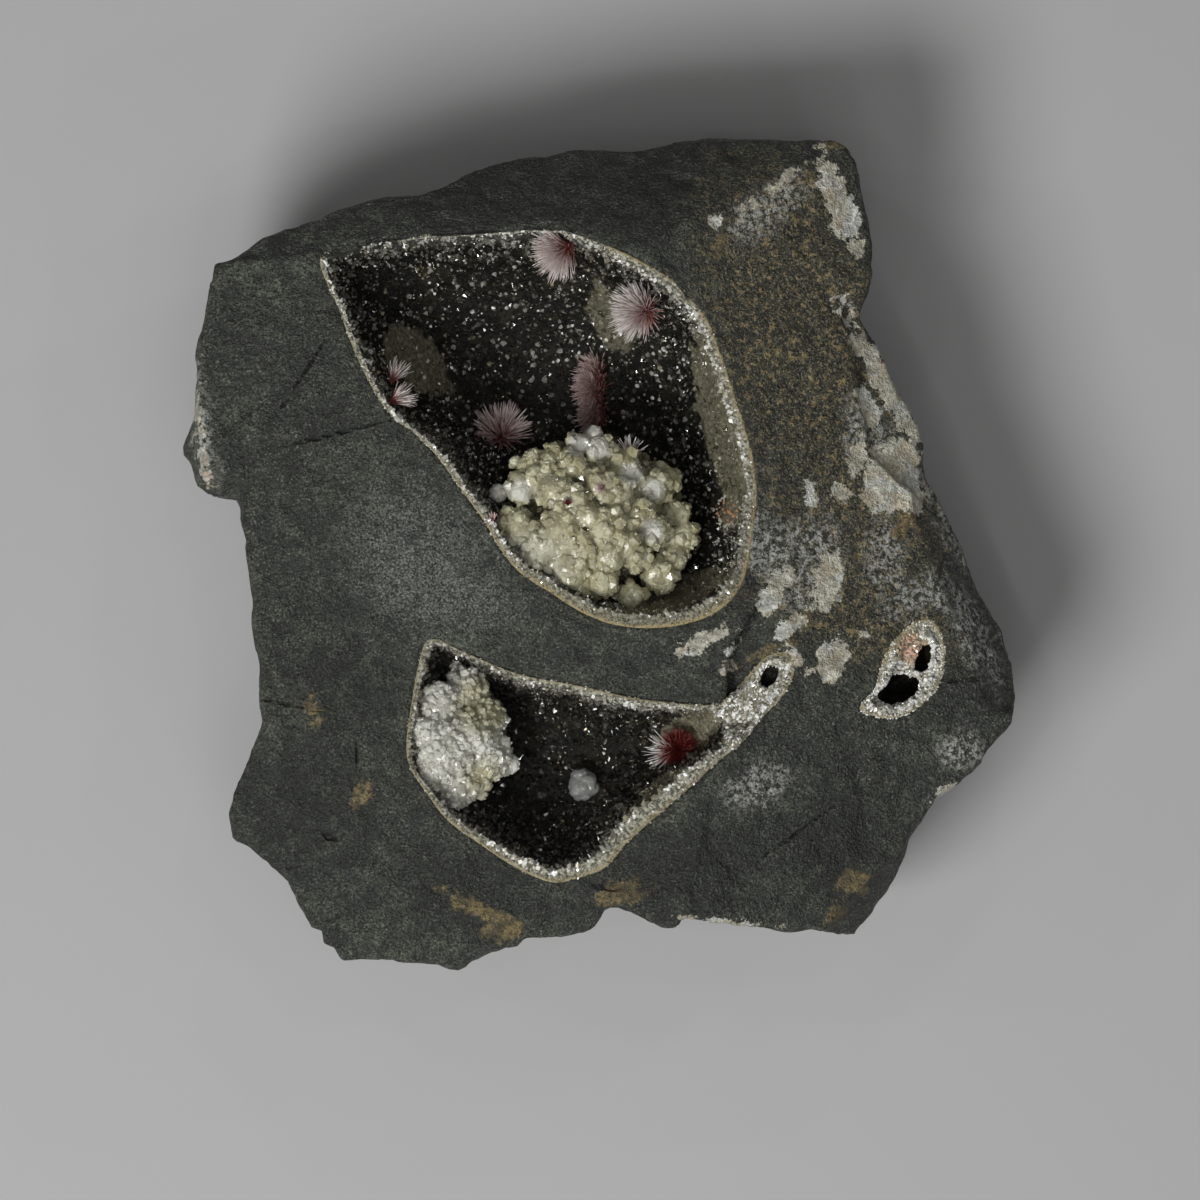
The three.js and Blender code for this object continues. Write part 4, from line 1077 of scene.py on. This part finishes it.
# The natrolite sprays: root, needle length, the way it points, how wide it opens, how many needles, how red
# it is, how far its needles turn from pink to white, and the stretch of its root line. A root at height 0
# stands on the pocket's wall. The last four are loose wisps without a solid of their own.
sprays = {
    "natrolite_spray_top": ((-5.2, 49.0, 47.8), 6.4, (-0.8, -0.5, 0.35), 0.75, 620, 0.55, 1.0, None),
    "natrolite_spray_right": ((7.6, 38.8, 46.4), 6.6, (-0.9, -0.02, 0.4), 1.05, 800, 0.35, 1.0, None),
    "natrolite_spray_tall_upper": ((-0.3, 28.0, 0), 4.6, (-0.9, 0.25, 0.5), 1.0, 1500, 0.85, 0.74, (0.2, 2.2)),
    "natrolite_spray_tall_lower": ((-0.2, 23.2, 0), 4.0, (-0.9, -0.15, 0.5), 1.0, 1300, 1.0, 0.74, (0.1, 2.2)),
    "natrolite_spray_left": ((-16.0, 18.6, 0), 6.4, (0.05, 0.75, 0.6), 1.0, 800, 0.7, 0.85, None),
    "natrolite_tuft_wall_upper": ((-33.6, 27.4, 0), 4.4, (0.55, 0.8, 0.4), 0.5, 80, 0.3, 1.0, None),
    "natrolite_tuft_wall_lower": ((-33.4, 24.2, 0), 4.4, (0.9, 0.35, 0.4), 0.55, 120, 0.4, 1.0, None),
    "natrolite_tuft_on_cluster": ((4.9, 15.7, 44.6), 3.4, (0.0, 0.85, 0.5), 0.95, 90, 0.2, 1.0, None),
    "natrolite_spray_lower_pocket": ((12.7, -31.9, 41.5), 4.6, (0, 0, 1), 9.0, 2600, 1.5, 0.34, None),
    "natrolite_fibres_rim": ((-17.0, 4.8, 53.0), 2.0, (-0.6, 0.6, 0.5), 0.8, 100, 1.1, 1.0, None),
    "natrolite_fibres_lower": ((11.8, -32.2, 42.5), 5.2, (-0.85, 0.15, 0.4), 0.75, 70, 0.0, 1.0, None),
    "natrolite_fibres_red": ((-5.0, 7.6, 53.5), 1.5, (-0.1, 0.3, 0.9), 0.5, 60, 1.5, 0.4, None),
    "natrolite_fibres_in_cluster": ((0.6, 10.3, 52.2), 1.8, (-0.8, -0.1, 0.6), 0.8, 70, 0.6, 1.0, None),
}
needleTones = {
    "core": (0.40, 0.105, 0.09), "redCore": (0.17, 0.02, 0.016), "tip": (0.95, 0.93, 0.90),
    "redTip": (0.78, 0.60, 0.56), "roughness": 0.35, "ior": 1.48, "width": 0.045,
}
t = Tree("natrolite_needles")
look, red = needleTones, t.value("red")
toTip = t.ramp(t.value("along"), 0.2, 0.7)
core, tip = t.mix(red, look["core"], look["redCore"]), t.mix(red, look["tip"], look["redTip"])
needleLook = t.finish({
    "Base Color": t.mix(toTip, core, tip), "Roughness": look["roughness"], "IOR": look["ior"],
    "Transmission Weight": t.ramp(toTip, 0.0, 1.0, 0.05, 0.2),
})

needleShape, needleFaces = needle()
for number, (name, spray) in enumerate(sprays.items()):
    random = np.random.default_rng(100 + number)
    (x, y, z), longest, axis, opening, count, redness, reach, line = spray
    if z == 0:
        z = min(floorHeight(pockets["lower" if y < -15 else "upper"], x, y) + 0.3, 50.0)
    main = unit(np.array(axis, float))
    spread = unit(random.normal(size=(count, 3))) * opening
    ways = unit(spread + main * (0.7 + 0.5 * random.random((count, 1))))
    length = longest * (0.62 + 0.38 * smoothStep(ways @ main, -0.2, 0.7))
    length = length * (0.45 + 0.55 * random.random(count) ** 0.7)
    stretch = np.zeros((count, 3))
    if line:
        stretch[:, :2] = (random.random((count, 1)) * 2 - 1) * np.array(line)
    start = np.array([x, y, z]) + stretch + 0.3 * random.normal(size=(count, 3)) * longest / 6
    width = needleTones["width"] + needleTones["width"] * random.random(count)
    sizes = np.column_stack([width, width, length])
    points, faces = copies(needleShape, needleFaces, start, ways, sizes, random)
    along = np.tile(needleShape[:, 2], count) * np.repeat(length / longest, len(needleShape)) * reach
    values = {"along": along, "red": np.full(len(points), redness)}
    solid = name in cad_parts
    made = makeObject(f"{name}_needles" if solid else name, points, faces, values)
    dress(made, needleLook, "natrolite", *([name] if solid else []))
print("sprays done")


# The floor, just under the specimen.
floorData = {"size": 3.0, "color": (0.42, 0.42, 0.42), "roughness": 0.9, "gap": 0.05}
floorShape = bmesh.new()
bmesh.ops.create_grid(floorShape, x_segments=1, y_segments=1, size=floorData["size"] / 2)
bmesh.ops.translate(floorShape, verts=floorShape.verts, vec=(0, 0, -floorData["gap"] * mm))
floorMesh = bpy.data.meshes.new("floor")
floorShape.to_mesh(floorMesh)
floorShape.free()
floor = newObject("floor", floorMesh)
t = Tree("paper")
paper = t.finish({"Base Color": floorData["color"], "Roughness": floorData["roughness"]})
floor.data.materials.append(paper)


# The lights, in metres: a key and a fill lamp, and small lamps round about for the crystals' glints.
lamps = {
    "key": {"place": (-0.42, -0.50, 0.95), "size": 0.52, "power": 9.9},
    "fill": {"place": (0.10, -0.25, 1.30), "size": 0.5, "power": 1.6},
}
glints = {
    "count": 10, "size": 0.045, "power": 0.22, "distance": 1.15, "low": 44.0, "high": 82.0,
    "first": 0.5, "step": 2.4,
}
lampTarget = (0, 0, 0.04)


def areaLight(name, place, size, power):
    data = bpy.data.lights.new(name, "AREA")
    data.shape = "DISK"
    data.size = size
    data.energy = power
    lamp = newObject(name, data)
    lamp.location = place
    lamp.rotation_mode = "QUATERNION"
    lamp.rotation_quaternion = (Vector(place) - Vector(lampTarget)).to_track_quat("Z", "Y")


for name, lamp in lamps.items():
    areaLight(name, **lamp)
for k in range(glints["count"]):
    rise = math.radians(glints["low"] + (glints["high"] - glints["low"]) * k / (glints["count"] - 1))
    turn = glints["step"] * k + glints["first"]
    way = (math.cos(turn) * math.cos(rise), math.sin(turn) * math.cos(rise), math.sin(rise))
    areaLight(f"glint{k}", [glints["distance"] * c for c in way], glints["size"], glints["power"])

sky = {"color": (0.5, 0.5, 0.49, 1), "strength": 0.16}
world = bpy.data.worlds.new("world")
bpy.context.scene.world = world
world.use_nodes = True
world.node_tree.nodes["Background"].inputs["Color"].default_value = sky["color"]
world.node_tree.nodes["Background"].inputs["Strength"].default_value = sky["strength"]
bpy.context.scene.view_settings.view_transform = "Standard"
print("floor and lights done")
